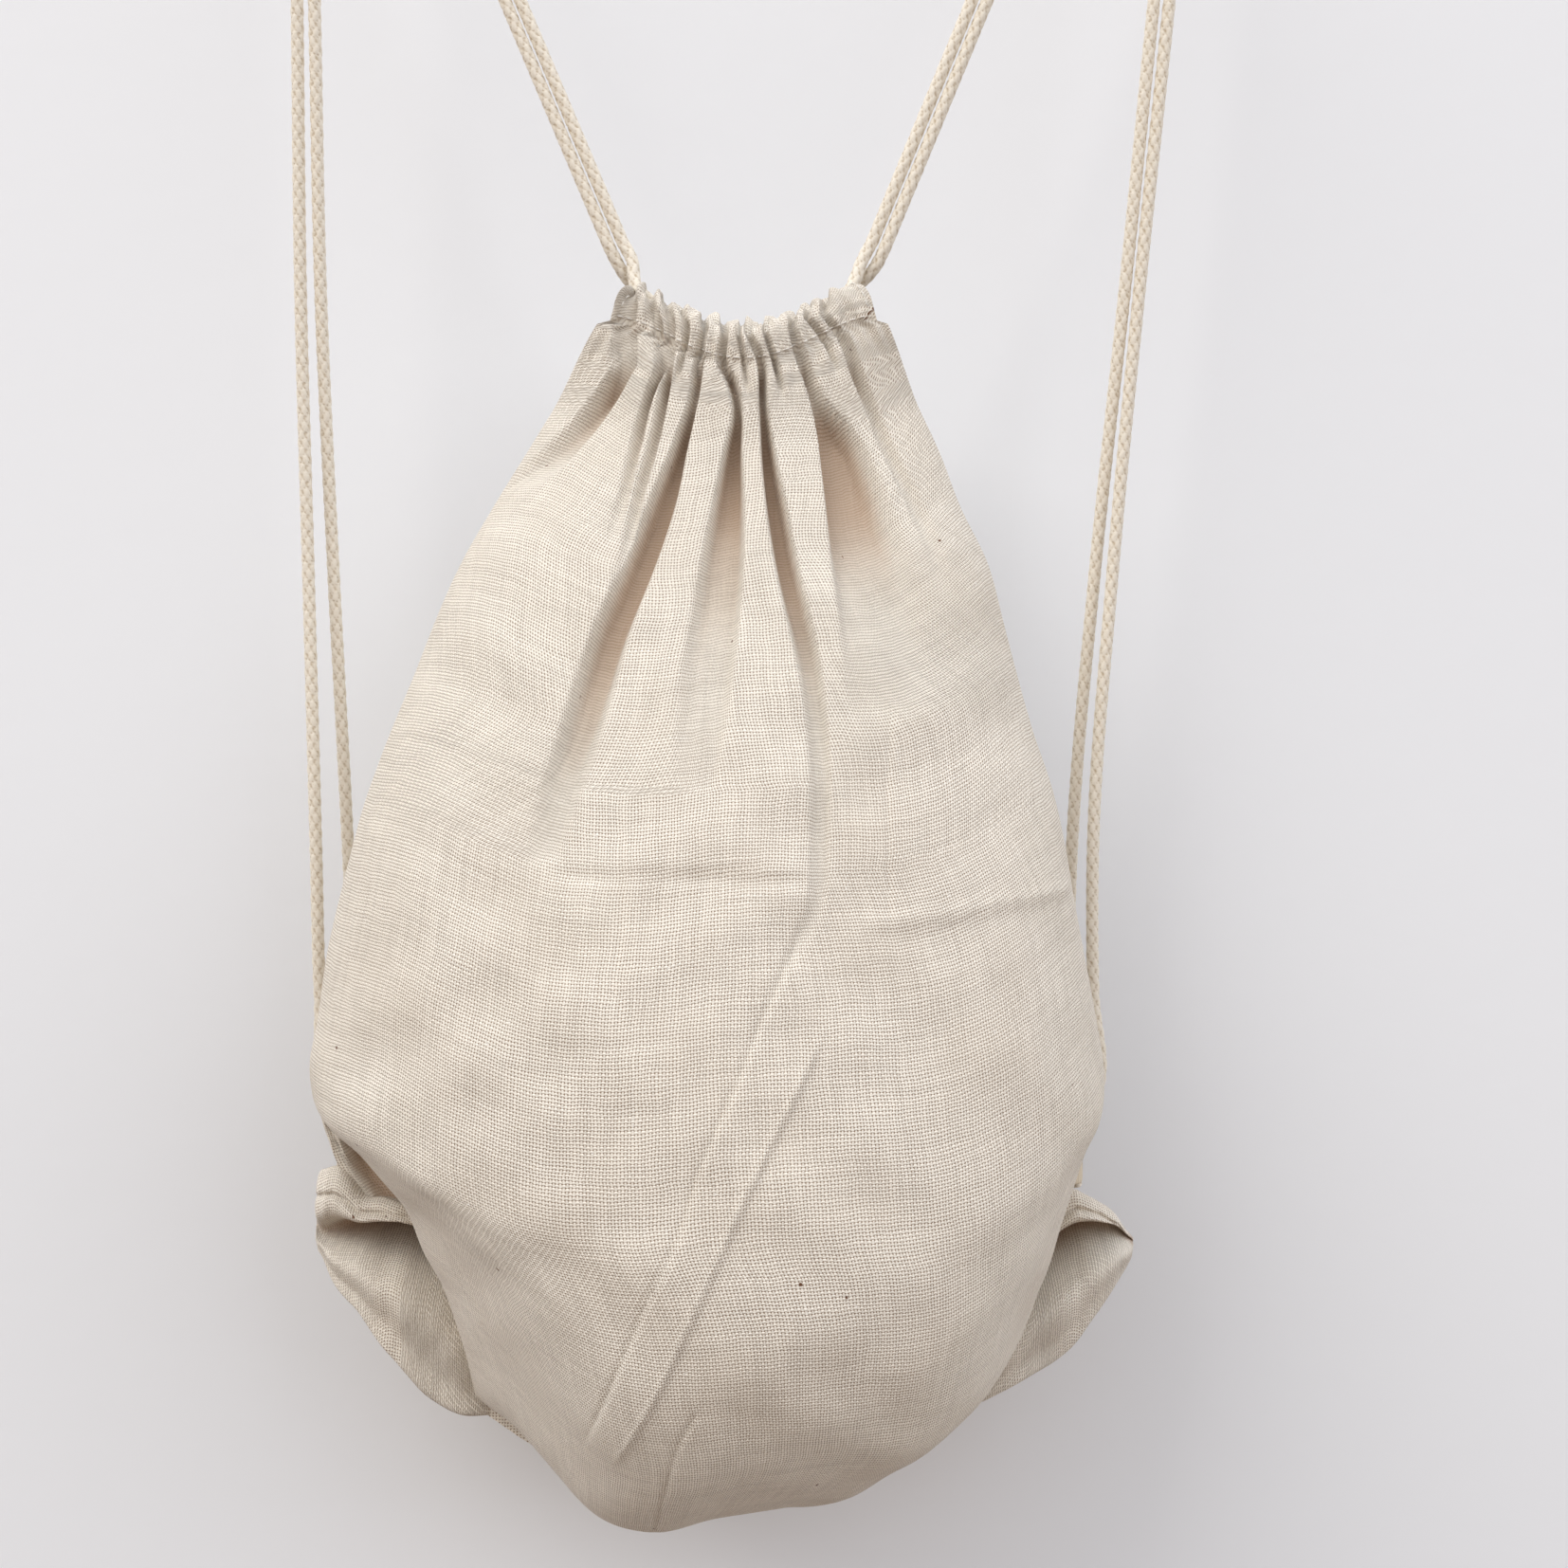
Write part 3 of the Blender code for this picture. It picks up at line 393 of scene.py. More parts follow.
def strandPoints(end, over):
    # from above the neck to the peg, over it, and down through the corner loop
    tab, exitPoint = cords["tab"][end], cords["exit"][end]
    axis = unit(exitPoint - tab)
    beside = np.array((end, 0.0, 0.0)) * (1 if over else -1)
    apart = unit(beside - axis * float(np.dot(beside, axis))) * halfPair
    along, top = strapLine(end)
    radius = cords["pegRadius"] + cords["diameter"] / 2 + (cords["diameter"] + cords["gap"] if over else 0)
    first = exitPoint + (1 if over else -1) * halfPair * top + along * cords["pivotGap"]
    peg = np.array((end * cords["pegSpan"] / 2, 0, -cords["pegRadius"]))
    turn = np.linspace(math.atan2(top[2], end * top[0]), math.radians(-6), 24)
    arc = peg + radius * np.stack((end * np.cos(turn), 0 * turn, np.sin(turn)), axis=1)
    climb = [arc[0] + (first - arc[0]) * t for t in np.linspace(1, 0, 16)[:-1]]
    down = [np.array(point) for point in routes[end, over]][::-1]
    tab = tab + cords["tabShift"][end]      # on the right the cloth hides the loop
    low = [tab + 1.15 * apart + axis * cords["grip"], tab + apart, tab + apart - axis * cords["grip"]]
    return climb + list(arc) + down + low


def knotPiece(name, end, nodeName):
    # an overhand knot: a trefoil, (2 + cos 3t) (cos 2t, sin 2t) with sin 3t for its depth
    tab = cords["tab"][end] + cords["tabShift"][end]
    axis = unit(cords["exit"][end] - tab)
    centre = tab - axis * (cords["grip"] + 0.0003 + cords["knotRadius"])
    t = np.linspace(0, 2 * np.pi, 161)[:-1]
    flat = np.stack(((2 + np.cos(3 * t)) * np.cos(2 * t), 1.3 * np.sin(3 * t),
                     (2 + np.cos(3 * t)) * np.sin(2 * t)), axis=1)
    line = centre + flat * (cords["knotRadius"] - 0.0022) / 3
    forward = unit(np.roll(line, -1, axis=0) - np.roll(line, 1, axis=0))
    sideways = unit(np.cross(forward, unit(line - centre)))
    upward = np.cross(sideways, forward)
    angle = np.linspace(0, 2 * np.pi, 16, endpoint=False)
    height = 0.5 + 0.5 * np.cos(angle * 4 + t[:, None] * 40) * np.cos(angle * 4 - t[:, None] * 40)
    spread = 0.0019 * (0.88 + 0.12 * height)
    loops = line[:, None] + spread[..., None] * (np.cos(angle)[None, :, None] * sideways[:, None]
                                                 + np.sin(angle)[None, :, None] * upward[:, None])
    closed = np.concatenate((loops, loops[:1]))
    thing = loopPiece(name, closed[:-1], braidedCotton, {"braid": height})
    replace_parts(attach(thing, "bag"), nodeName)
    return thing, centre


for end, place in ((-1, "left"), (1, "right")):
    knotThing, knotCentre = knotPiece(f"{place}KnotShown", end, f"{place}_knot")
    for side, label, over in ((-1, "front", True), (1, "back", False)):
        route = smoothCurve(leadPoints(end, side) + strandPoints(end, over), cords["step"])
        strap = braidedTube(f"{place}{label.capitalize()}Strap", route, twist=0.4 * side)
        layer = "outer" if over else "inner"
        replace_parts(strap, f"{place}_cord_{label}_lead", f"{place}_cord_{layer}_strand")
        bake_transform(strap)
        length = float(np.sum(np.linalg.norm(np.diff(route, axis=0), axis=1)))
    for number, letter in ((1, "a"), (-1, "b")):
        direction = unit(np.array((-end * 0.12, 0.42 * number, -0.9)))
        first = knotCentre + direction * (cords["knotRadius"] - 0.0015)
        tail = [first, first + direction * 0.004, first + direction * 0.009 + (0, 0, -0.001),
                first + direction * 0.4 * cords["tailLength"] + (0, 0, -0.62 * cords["tailLength"])]
        thing = braidedTube(f"{place}Tail{letter.upper()}", smoothCurve(tail, cords["step"]))
        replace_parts(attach(thing, "bag"), f"{place}_tail_{letter}")
print("straps made")

# the bag's shape
bag = {
    "leftSide": [(-0.2430, -0.0450), (-0.2672, -0.0617), (-0.2864, -0.0735), (-0.3056, -0.0849),
                 (-0.3248, -0.0953), (-0.3440, -0.1036), (-0.3632, -0.1108), (-0.3824, -0.1181),
                 (-0.4016, -0.1253), (-0.4304, -0.1332), (-0.4560, -0.1390), (-0.4784, -0.1421),
                 (-0.4976, -0.1444), (-0.5052, -0.1428), (-0.5178, -0.1300), (-0.5315, -0.1172),
                 (-0.5539, -0.1062), (-0.5677, -0.1003), (-0.5872, -0.0945), (-0.6102, -0.0905)],
    "rightSide": [(-0.2430, 0.0455), (-0.2672, 0.0571), (-0.2864, 0.0660), (-0.3056, 0.0732),
                  (-0.3248, 0.0821), (-0.3440, 0.0871), (-0.3632, 0.0919), (-0.3824, 0.0972),
                  (-0.4016, 0.1035), (-0.4208, 0.1077), (-0.4400, 0.1108), (-0.4592, 0.1143),
                  (-0.4784, 0.1177), (-0.4976, 0.1205), (-0.5056, 0.1203), (-0.5206, 0.1150),
                  (-0.5290, 0.1120), (-0.5427, 0.1069), (-0.5638, 0.1004), (-0.5754, 0.0958),
                  (-0.5904, 0.0800), (-0.6102, 0.0560)],
    "bottom": [(-1.0, -0.6050), (-0.75, -0.6130), (-0.58, -0.6250), (-0.376, -0.6370), (-0.21, -0.6400),
               (0.07, -0.6372), (0.36, -0.6372), (0.54, -0.6372), (0.68, -0.6320), (0.79, -0.6240),
               (0.89, -0.6140), (1.0, -0.6040)],
    "sideTop": -0.2473, "corner": -0.6102, "neckDepth": 0.019, "deepest": 0.74, "flatWidth": 0.37,
    "wallTouch": 0.0812,      # the back cloth comes no nearer to the wall than this
}
front = {
    "side": -1, "bulge": 0.094, "roundness": 0.5, "flat": 0,
    "rimHalf": 0.0056, "rimTall": 0.0082, "footTurn": math.radians(-32), "insideTurn": math.radians(250),
    "topHalf": 0.0372, "footHalf": 0.0452, "columns": 340, "rimRows": 46, "rows": 238, "body": "front_rim",
    # folds that run down from the rim: height and place (mm), half the floor's width, depth and
    # the widths of the left and right flanks (mm)
    "folds": {
        "shoulder": [(-260.2, -39.2, 1.3, 5, 3.1, 3.1), (-274.8, -49.4, 1.9, 5, 4.4, 4.4),
                     (-288.8, -62.2, 2.5, 3, 6.3, 6.3), (-300.7, -76.3, 3.1, 0, 7.9, 7.9)],
        "outerPleat": [(-238.6, -30.7, 0.6, 1.5, 1.6, 1.6), (-247.3, -28.7, 0.6, 2.5, 1.9, 1.9),
                       (-259.1, -26.9, 0.3, 4, 1.6, 1.6), (-271.8, -31.4, 0.3, 4, 1.9, 1.9),
                       (-290.8, -35.5, 0.3, 3, 2.2, 2.2), (-302.8, -37.7, 0.3, 2, 2.1, 2.1),
                       (-322.6, -42.6, 0.3, 0, 2.4, 2.4)],
        "innerPleat": [(-236.4, -25.5, 0.6, 1.5, 1.6, 1.6), (-247.9, -24.3, 0.5, 2.5, 1.6, 1.6),
                       (-260.3, -24.5, 0.3, 4, 1.6, 1.6), (-274.4, -26.6, 0.3, 4, 1.9, 1.9),
                       (-291.3, -30.1, 0.3, 3.2, 2.1, 2.1), (-301.8, -32.6, 0.3, 2.6, 2.1, 2.1),
                       (-323.8, -36.7, 0.3, 1.4, 2.4, 2.4), (-344.8, -42.1, 0.3, 0, 2.4, 2.4)],
        "leftValley": [(-248.5, -12.6, 0.5, 2.2, 1.2, 1.2), (-256.8, -14.1, 0.5, 3, 1.5, 1.5),
                       (-270.9, -15.9, 0.5, 4, 1.5, 1.5), (-288.3, -20.7, 0.9, 8, 1.8, 2.5),
                       (-305.3, -25.5, 1.8, 9, 2.7, 3.6), (-331.3, -34.2, 2.1, 8, 3.6, 4.8),
                       (-355.8, -43.2, 2.4, 6, 4.1, 5.6), (-378.1, -49, 2.3, 4.5, 4.6, 6.4),
                       (-398.5, -54.9, 1.7, 2.5, 5.5, 7.2), (-420, -59.5, 1.1, 0.3, 5.7, 7.1)],
        "middleValley": [(-251.1, -6, 0.5, 2, 1.2, 1.2), (-260.7, -6.7, 0.6, 3.6, 1.2, 1.2),
                         (-265.3, -4.2, 0.5, 4, 1.5, 1.5), (-275.6, -1.6, 0.5, 5, 1.5, 1.2),
                         (-289.5, -2.8, 1.5, 7.5, 2.1, 1.5), (-304.6, -3.8, 2.7, 7, 3, 2.1),
                         (-324, -5.2, 3.9, 5, 3.9, 2.7), (-345.3, -7.3, 4.7, 3.5, 4.7, 2.9),
                         (-371.8, -10.3, 4.6, 2, 5.5, 3.5), (-400, -12.9, 3.4, 0.3, 5.7, 3.4)],
        "rightValley": [(-250.5, 1.7, 0.4, 1.6, 1.2, 1.2), (-257.4, 5.1, 0.5, 3, 1.2, 1.2),
                        (-275.5, 7, 0.5, 5, 1.5, 0.9), (-291.5, 8.8, 1.2, 8, 1.8, 0.9),
                        (-312.2, 12, 1.8, 7.5, 2.4, 1.2), (-337.8, 16.7, 1.8, 6, 3, 1.5),
                        (-357.3, 21.3, 1.5, 4.2, 3.5, 1.5), (-378.3, 24.2, 1.2, 2.6, 3.8, 1.6),
                        (-397.2, 25.2, 1, 1.7, 4, 1.7), (-415.7, 24.9, 0.9, 1.2, 4, 1.8),
                        (-434.1, 23.1, 0.8, 0.8, 3.9, 1.8), (-447.7, 16.4, 0.8, 0.4, 3.6, 1.8),
                        (-460.9, 8.9, 0.8, 0, 3.3, 1.4)],
        "wideValley": [(-248.4, 16.2, 0.5, 2, 1.2, 1.2), (-258.8, 19.4, 0.6, 3, 1.6, 1.6),
                       (-273.3, 24.3, 0.9, 4, 1.5, 3.7), (-282.3, 29, 3.1, 8, 2.2, 5.6),
                       (-297.2, 32.7, 4.9, 8, 2.5, 8), (-316.5, 36.4, 6.7, 5.5, 2.7, 9.7),
                       (-335.7, 39.8, 7.8, 3, 3.3, 11.4), (-356.5, 42.5, 8.3, 1.2, 3.6, 11.8),
                       (-377.5, 43.4, 7.3, 0, 3.5, 11.7)],
        "rightPleat": [(-243.4, 26.5, 0.5, 1.5, 1.2, 1.9), (-248.9, 31.5, 0.5, 2.5, 1.3, 2.2),
                       (-262.9, 37.5, 0.6, 2.8, 1.6, 2.5), (-274.3, 42.2, 0.6, 2.5, 1.9, 2.8),
                       (-288.9, 47.7, 0.6, 2.2, 2.2, 3.1), (-302.9, 54.1, 0.6, 1.6, 2.5, 3.7),
                       (-317.9, 60.1, 0.6, 0.9, 2.8, 3.7), (-340.6, 66, 0.6, 0, 3, 3.6)],
        "slitA": [(-240, -20.2, 0.3, 1.6, 1.2, 1.2), (-250, -18.6, 0.3, 2, 1.2, 1.2),
                  (-260.3, -20.6, 0.3, 1.2, 1.2, 1.2), (-268, -22.2, 0.3, 0, 1.2, 1.2)],
        "slitB": [(-250.8, -1.4, 0.3, 1.4, 0.9, 0.9), (-257.3, -0.1, 0.3, 1.8, 0.9, 0.9),
                  (-264.1, 0.7, 0.3, 1.2, 0.9, 0.9), (-272.2, 2, 0.3, 0, 0.9, 0.9)],
        "slitC": [(-249.7, 7.2, 0.3, 1.4, 0.9, 0.9), (-255.8, 9.3, 0.3, 2, 0.9, 0.9),
                  (-262.1, 11.2, 0.4, 2, 0.9, 0.9), (-272.2, 13.2, 0.3, 0, 0.9, 0.9)],
        "slitD": [(-244.4, 21.1, 0.3, 1.4, 1.2, 1.2), (-249.5, 25.5, 0.3, 1.6, 1.2, 1.2),
                  (-255.6, 28.8, 0.3, 1, 1.2, 1.2), (-264.1, 31.1, 0.3, 0, 1.2, 1.2)],
    },
    # pressed lines: places (mm), depth, width, and how much the cloth steps up on one side
    "creases": [
        ([(-56.9, -423.2), (-39.3, -424.4), (-22.3, -424.8), (0.4, -425.7), (23.7, -426.1)], 1.3, 2.4, 0.45),
        ([(35.1, -439.7), (48.4, -438.9), (63.1, -437.2), (83.4, -434.1), (108.5, -431.5)], -0.9, 2.8, 0.5),
        ([(22.7, -431.5), (10.4, -458.6), (5.4, -469.5), (-1.6, -486.8), (-10.4, -506.4), (-18, -529.5),
          (-26.4, -547), (-37, -572.6), (-48.2, -600.2)], 0.95, 1.5, 0.32),
        ([(27.6, -465.2), (14.9, -491.1), (4.7, -511), (-2.3, -526.3), (-13.4, -551.4), (-22.7, -572.5),
          (-31, -589), (-39.5, -604.2)], -1.0, 1.5, -0.32),
        ([(-10.4, -577.5), (-17, -589.7), (-22.6, -610.8), (-28.1, -635.1)], 0.8, 1.8, 0.2),
        ([(46.4, -369.1), (46.2, -389.3), (45.4, -409.6), (45.6, -426.5), (45.6, -446)], 0.35, 2.0, 0.1),
        ([(-36.4, -403.8), (-35.6, -423.6), (-35.4, -445.5), (-35.6, -467.2)], 0.5, 5.0, 0.1),
    ],
}
back = {
    "side": 1, "bulge": 0.094, "roundness": 0.70, "flat": 0.0795,
    "rimHalf": 0.0056, "rimTall": 0.0082, "footTurn": math.radians(-32), "insideTurn": math.radians(250),
    "topHalf": 0.0385, "footHalf": 0.0440, "columns": 300, "rimRows": 46, "rows": 200, "body": "back_rim",
    "folds": {
        f"gather{k}": [(-243, x, 0.4, 1.3, 1.1, 1.1), (-256, x * 1.1, 0.4, deep, 1.4, 1.4),
                       (-285, x * 1.5, 1.0, deep * 2.2, 2.6, 2.6), (-320, x * 1.9, 1.4, deep * 1.5, 4.5, 4.5),
                       (-365, x * 2.3, 1.5, 0, 7, 7)]
        for k, (x, deep) in enumerate([(-33, 2), (-26.5, 3), (-20, 2.2), (-14, 3.4), (-7.5, 2.4), (-1, 3.6),
                                       (5.5, 2.3), (11.5, 3.3), (18, 2.6), (24.5, 3.2), (31.5, 2.1)])
    },
    "creases": [([(-60, -425), (-20, -428), (30, -426), (80, -430)], 0.5, 2.0, 0.1)],
}


def clothShape(face, s, v, turn):
    # s runs -1..1 across. v is 0 on the rim, where turn goes round the casing's oval, and 1 at the
    # bottom seam. Below the rim, y = depth (1 - s^2)^roundness and z goes straight down from rim to seam.
    side = face["side"]
    weight = (1 - np.clip(s * s, 0, 1)) ** 2
    rimY = side * (cords["endY"] + cords["bow"] * weight)
    rimZ = cords["rimZ"] - cords["dip"][side] * weight
    footY = rimY + side * face["rimHalf"] * np.cos(face["footTurn"]) ** 0.8
    footZ = rimZ - face["rimTall"] * np.sin(-face["footTurn"]) ** 0.8
    sideZ = bag["sideTop"] + (bag["corner"] - bag["sideTop"]) * v
    left, right = spline(sideZ, bag["leftSide"])[..., 0], spline(sideZ, bag["rightSide"])[..., 0]
    x = left + (right - left) * (s + 1) / 2
    rise = np.sin(np.pi / 2 * np.clip(v / bag["deepest"], 0, 1)) ** 1.1
    lower = np.clip((v - bag["deepest"]) / (1 - bag["deepest"]), 0, 1)
    depth = bag["neckDepth"] + (face["bulge"] - bag["neckDepth"]) * rise
    depth = np.where(v < bag["deepest"], depth, face["bulge"] * np.sqrt(np.clip(1 - lower ** 2.2, 0, 1)))
    power = face["roundness"] + (0.8 - face["roundness"]) * np.clip(1 - v / 0.2, 0, 1)
    out = depth * np.clip(1 - s * s, 0, 1) ** power
    if face["flat"]:
        out = out - np.log1p(np.exp((out - face["flat"]) / 0.0035)) * 0.0035      # flattened by the wall
    topZ = bag["sideTop"] - cords["dip"][side] * (1 - s * s)
    z = (1 - v) * topZ + v * spline(s, bag["bottom"])[..., 0]
    near = 1 - ease(v / 0.07)
    y = side * out + (footY - side * bag["neckDepth"] * np.clip(1 - s * s, 0, 1) ** 0.8) * near
    z = z + (footZ - topZ) * near
    x = x + s * (face["footHalf"] - 0.0455) * near
    cosine, sine = np.cos(turn), np.sin(turn)
    # the inner leaf ends short, where the cords come out
    inner = ease((turn - np.pi / 2) / 1.0) * 0.007
    flare = (face["footHalf"] - face["topHalf"]) * np.sqrt((1.0001 - sine) / 2)
    ovalX = s * (face["topHalf"] - inner + flare)
    ovalY = rimY + side * face["rimHalf"] * np.sign(cosine) * np.abs(cosine) ** 0.8
    ovalZ = rimZ + face["rimTall"] * np.sign(sine) * np.abs(sine) ** 0.8
    onRim = v <= 0
    return np.stack((np.where(onRim, ovalX, x), np.where(onRim, ovalY, y), np.where(onRim, ovalZ, z)), -1)


def foldDepth(face, x, z):
    # each fold is a floor of full depth between two flanks that fall off as (1 + cos) / 2
    total, mask = np.zeros_like(x), np.zeros_like(x)
    for rows in face["folds"].values():
        rows = np.array(rows, float)
        top, foot = rows[0, 0] / 1000, rows[-1, 0] / 1000
        values = spline(np.clip(z, foot, top), rows * np.array((0.001,) * 6))
        middle, floor, deep, softLeft, softRight = (values[..., k] for k in range(5))
        off = x - middle
        flank = np.where(off < 0, softLeft, softRight)
        fall = np.clip((np.abs(off) - floor) / np.maximum(flank, 1e-5), 0, 1)
        share = (1 + np.cos(np.pi * fall)) / 2 * np.where(z < foot, 0, 1)
        total = np.maximum(total, np.clip(deep, 0, 1) * share)
        mask = np.maximum(mask, share * np.clip(deep / 0.004, 0, 1))
    return total, mask


def creaseHeight(face, x, z):
    # a pressed line dents the cloth by a bell curve of the distance to it, and one side stands higher
    total = np.zeros_like(x)
    for places, deep, width, step in face["creases"]:
        places = smoothCurve(np.column_stack((np.array(places) / 1000, np.zeros(len(places)))), 0.004)[:, :2]
        nearest, signed, share = np.full(x.shape, 1.0), np.zeros_like(x), np.zeros_like(x)
        count = len(places) - 1
        for k in range(count):
            a, b = places[k], places[k + 1]
            span = b - a
            t = ((x - a[0]) * span[0] + (z - a[1]) * span[1]) / (span @ span)
            t = np.clip(t, 0, 1)
            offX, offZ = x - a[0] - t * span[0], z - a[1] - t * span[1]
            far = np.hypot(offX, offZ)
            closer = far < nearest
            nearest = np.where(closer, far, nearest)
            signed = np.where(closer, np.sign(span[0] * offZ - span[1] * offX) * far, signed)
            share = np.where(closer, (k + t) / count, share)
        fade = ease(np.minimum(share, 1 - share) / 0.12)
        width = width / 1000
        total -= deep / 1000 * np.exp(-(nearest / (0.5 * width)) ** 2) * fade
        total += step / 1000 * np.tanh(signed / width) * np.exp(-nearest / (5 * width)) * fade
    return total


def waves(x, z, count, shortest, longest, seed):
    # a sum of slanted sines with chance lengths, directions and phases, about 1 high
    chance = np.random.default_rng(seed)
    total = np.zeros_like(x)
    for _ in range(count):
        length = math.exp(chance.uniform(math.log(shortest), math.log(longest)))
        lean, phase = chance.uniform(-1.2, 1.2), chance.uniform(0, 2 * np.pi)
        total += np.sin((x * math.cos(lean) + z * math.sin(lean)) * 2 * np.pi / length + phase)
    return total / math.sqrt(count)


def makeCloth(name, face, seed):
    line = np.linspace(-1, 1, face["columns"])
    s = 0.7 * line + 0.3 * np.sin(np.pi / 2 * line)
    turn = np.linspace(face["insideTurn"], face["footTurn"], face["rimRows"])
    v = np.sin(np.linspace(0, np.pi / 2, face["rows"] + 1)[1:]) ** 1.15
    allTurn = np.concatenate((turn, np.full(len(v), face["footTurn"])))
    allV = np.concatenate((np.zeros(len(turn)), v))
    gridS, gridV = np.meshgrid(s, allV)
    gridTurn = np.repeat(allTurn[:, None], len(s), 1)
    smooth = clothShape(face, gridS, gridV, gridTurn)
    normal = gridNormals(smooth)
    normal = normal * np.sign(np.sum(normal[-60, len(s) // 2] * (0, face["side"], 0)))
    x, z = smooth[..., 0], smooth[..., 2]
    lookZ = np.where(gridTurn > np.pi / 2, z[np.argmin(np.abs(turn - np.pi / 2))], z)
    depth, mask = foldDepth(face, x, lookZ)
    inside = ease((gridTurn - np.pi / 2) / 1.2)          # the inner leaf of the casing gathers less
    edge = ease((1 - np.abs(gridS)) / 0.05)
    gathered = 1 + 0.8 * ease((z + 0.275) / 0.015)        # the rim's pleats are drawn up tightest
    depth = np.minimum(depth * 1.2 * gathered, 0.0031 + 0.0063 * ease((-0.255 - z) / 0.02))
    push = -depth * (1 - 0.65 * inside) * edge
    push = push + creaseHeight(face, x, z) * edge * (gridV > 0.05)
    body = ease(gridV / 0.25) * edge
    push = push + 0.00045 * waves(x, z, 9, 0.018, 0.05, seed) * body
    push = push + 0.0012 * waves(x, z * 0.45, 6, 0.06, 0.14, seed + 1) * body
    rimWave = waves(gridS * 0.04, z * 0.3, 8, 0.003, 0.009, seed + 2)
    push = push + 0.0006 * rimWave * edge * (1 - ease(gridV / 0.06))
    points = smooth + normal * push[..., None]
    nearTop = np.exp(-((gridTurn - np.pi / 2) / 0.7) ** 2) * (gridV <= 0)
    points[..., 2] += 0.0008 * nearTop * waves(gridS * 0.04, 0 * z, 7, 0.005, 0.011, seed + 3) * edge
    points[..., 2] -= 0.2 * depth * nearTop
    if face["flat"]:
        points[..., 1] = np.minimum(points[..., 1], bag["wallTouch"])
    across = np.linalg.norm(np.diff(points, axis=1), axis=2)
    middle = (mask[:, 1:] + mask[:, :-1]) / 2 + 0.02
    missing = np.clip(bag["flatWidth"] - across.sum(1), 0, 1) / (middle * across).sum(1)
    across = across * (1 + missing[:, None] * middle)
    u = np.concatenate((np.zeros((len(points), 1)), np.cumsum(across, axis=1)), axis=1)
    u = u - u[:, len(s) // 2:len(s) // 2 + 1]
    downward = np.linalg.norm(np.diff(smooth, axis=0), axis=2)
    w = np.concatenate((np.zeros((1, len(s))), np.cumsum(downward, axis=0)))
    anchor = face["rimRows"] + int(0.6 * face["rows"])
    uv = np.stack((u, w[anchor] - w), axis=-1)
    # painted shade: deep in the folds below the rim, the fold attribute darkens the cloth
    foldShadeShare = ease((depth - 0.0022) / 0.0065) * edge * (gridTurn < np.pi / 2)
    piece = gridPiece(name, points, bagCanvas, uv, {"fold": foldShadeShare}, flip=face["side"] < 0)
    return piece, points, normal


frontCloth, frontPoints, frontNormals = makeCloth("frontCloth", front, 5)
backCloth, backPoints, backNormals = makeCloth("backCloth", back, 12)
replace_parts(frontCloth, "front_panel", "front_casing")
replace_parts(backCloth, "back_panel", "back_casing")
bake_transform(frontCloth)
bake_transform(backCloth)
print("cloth made")

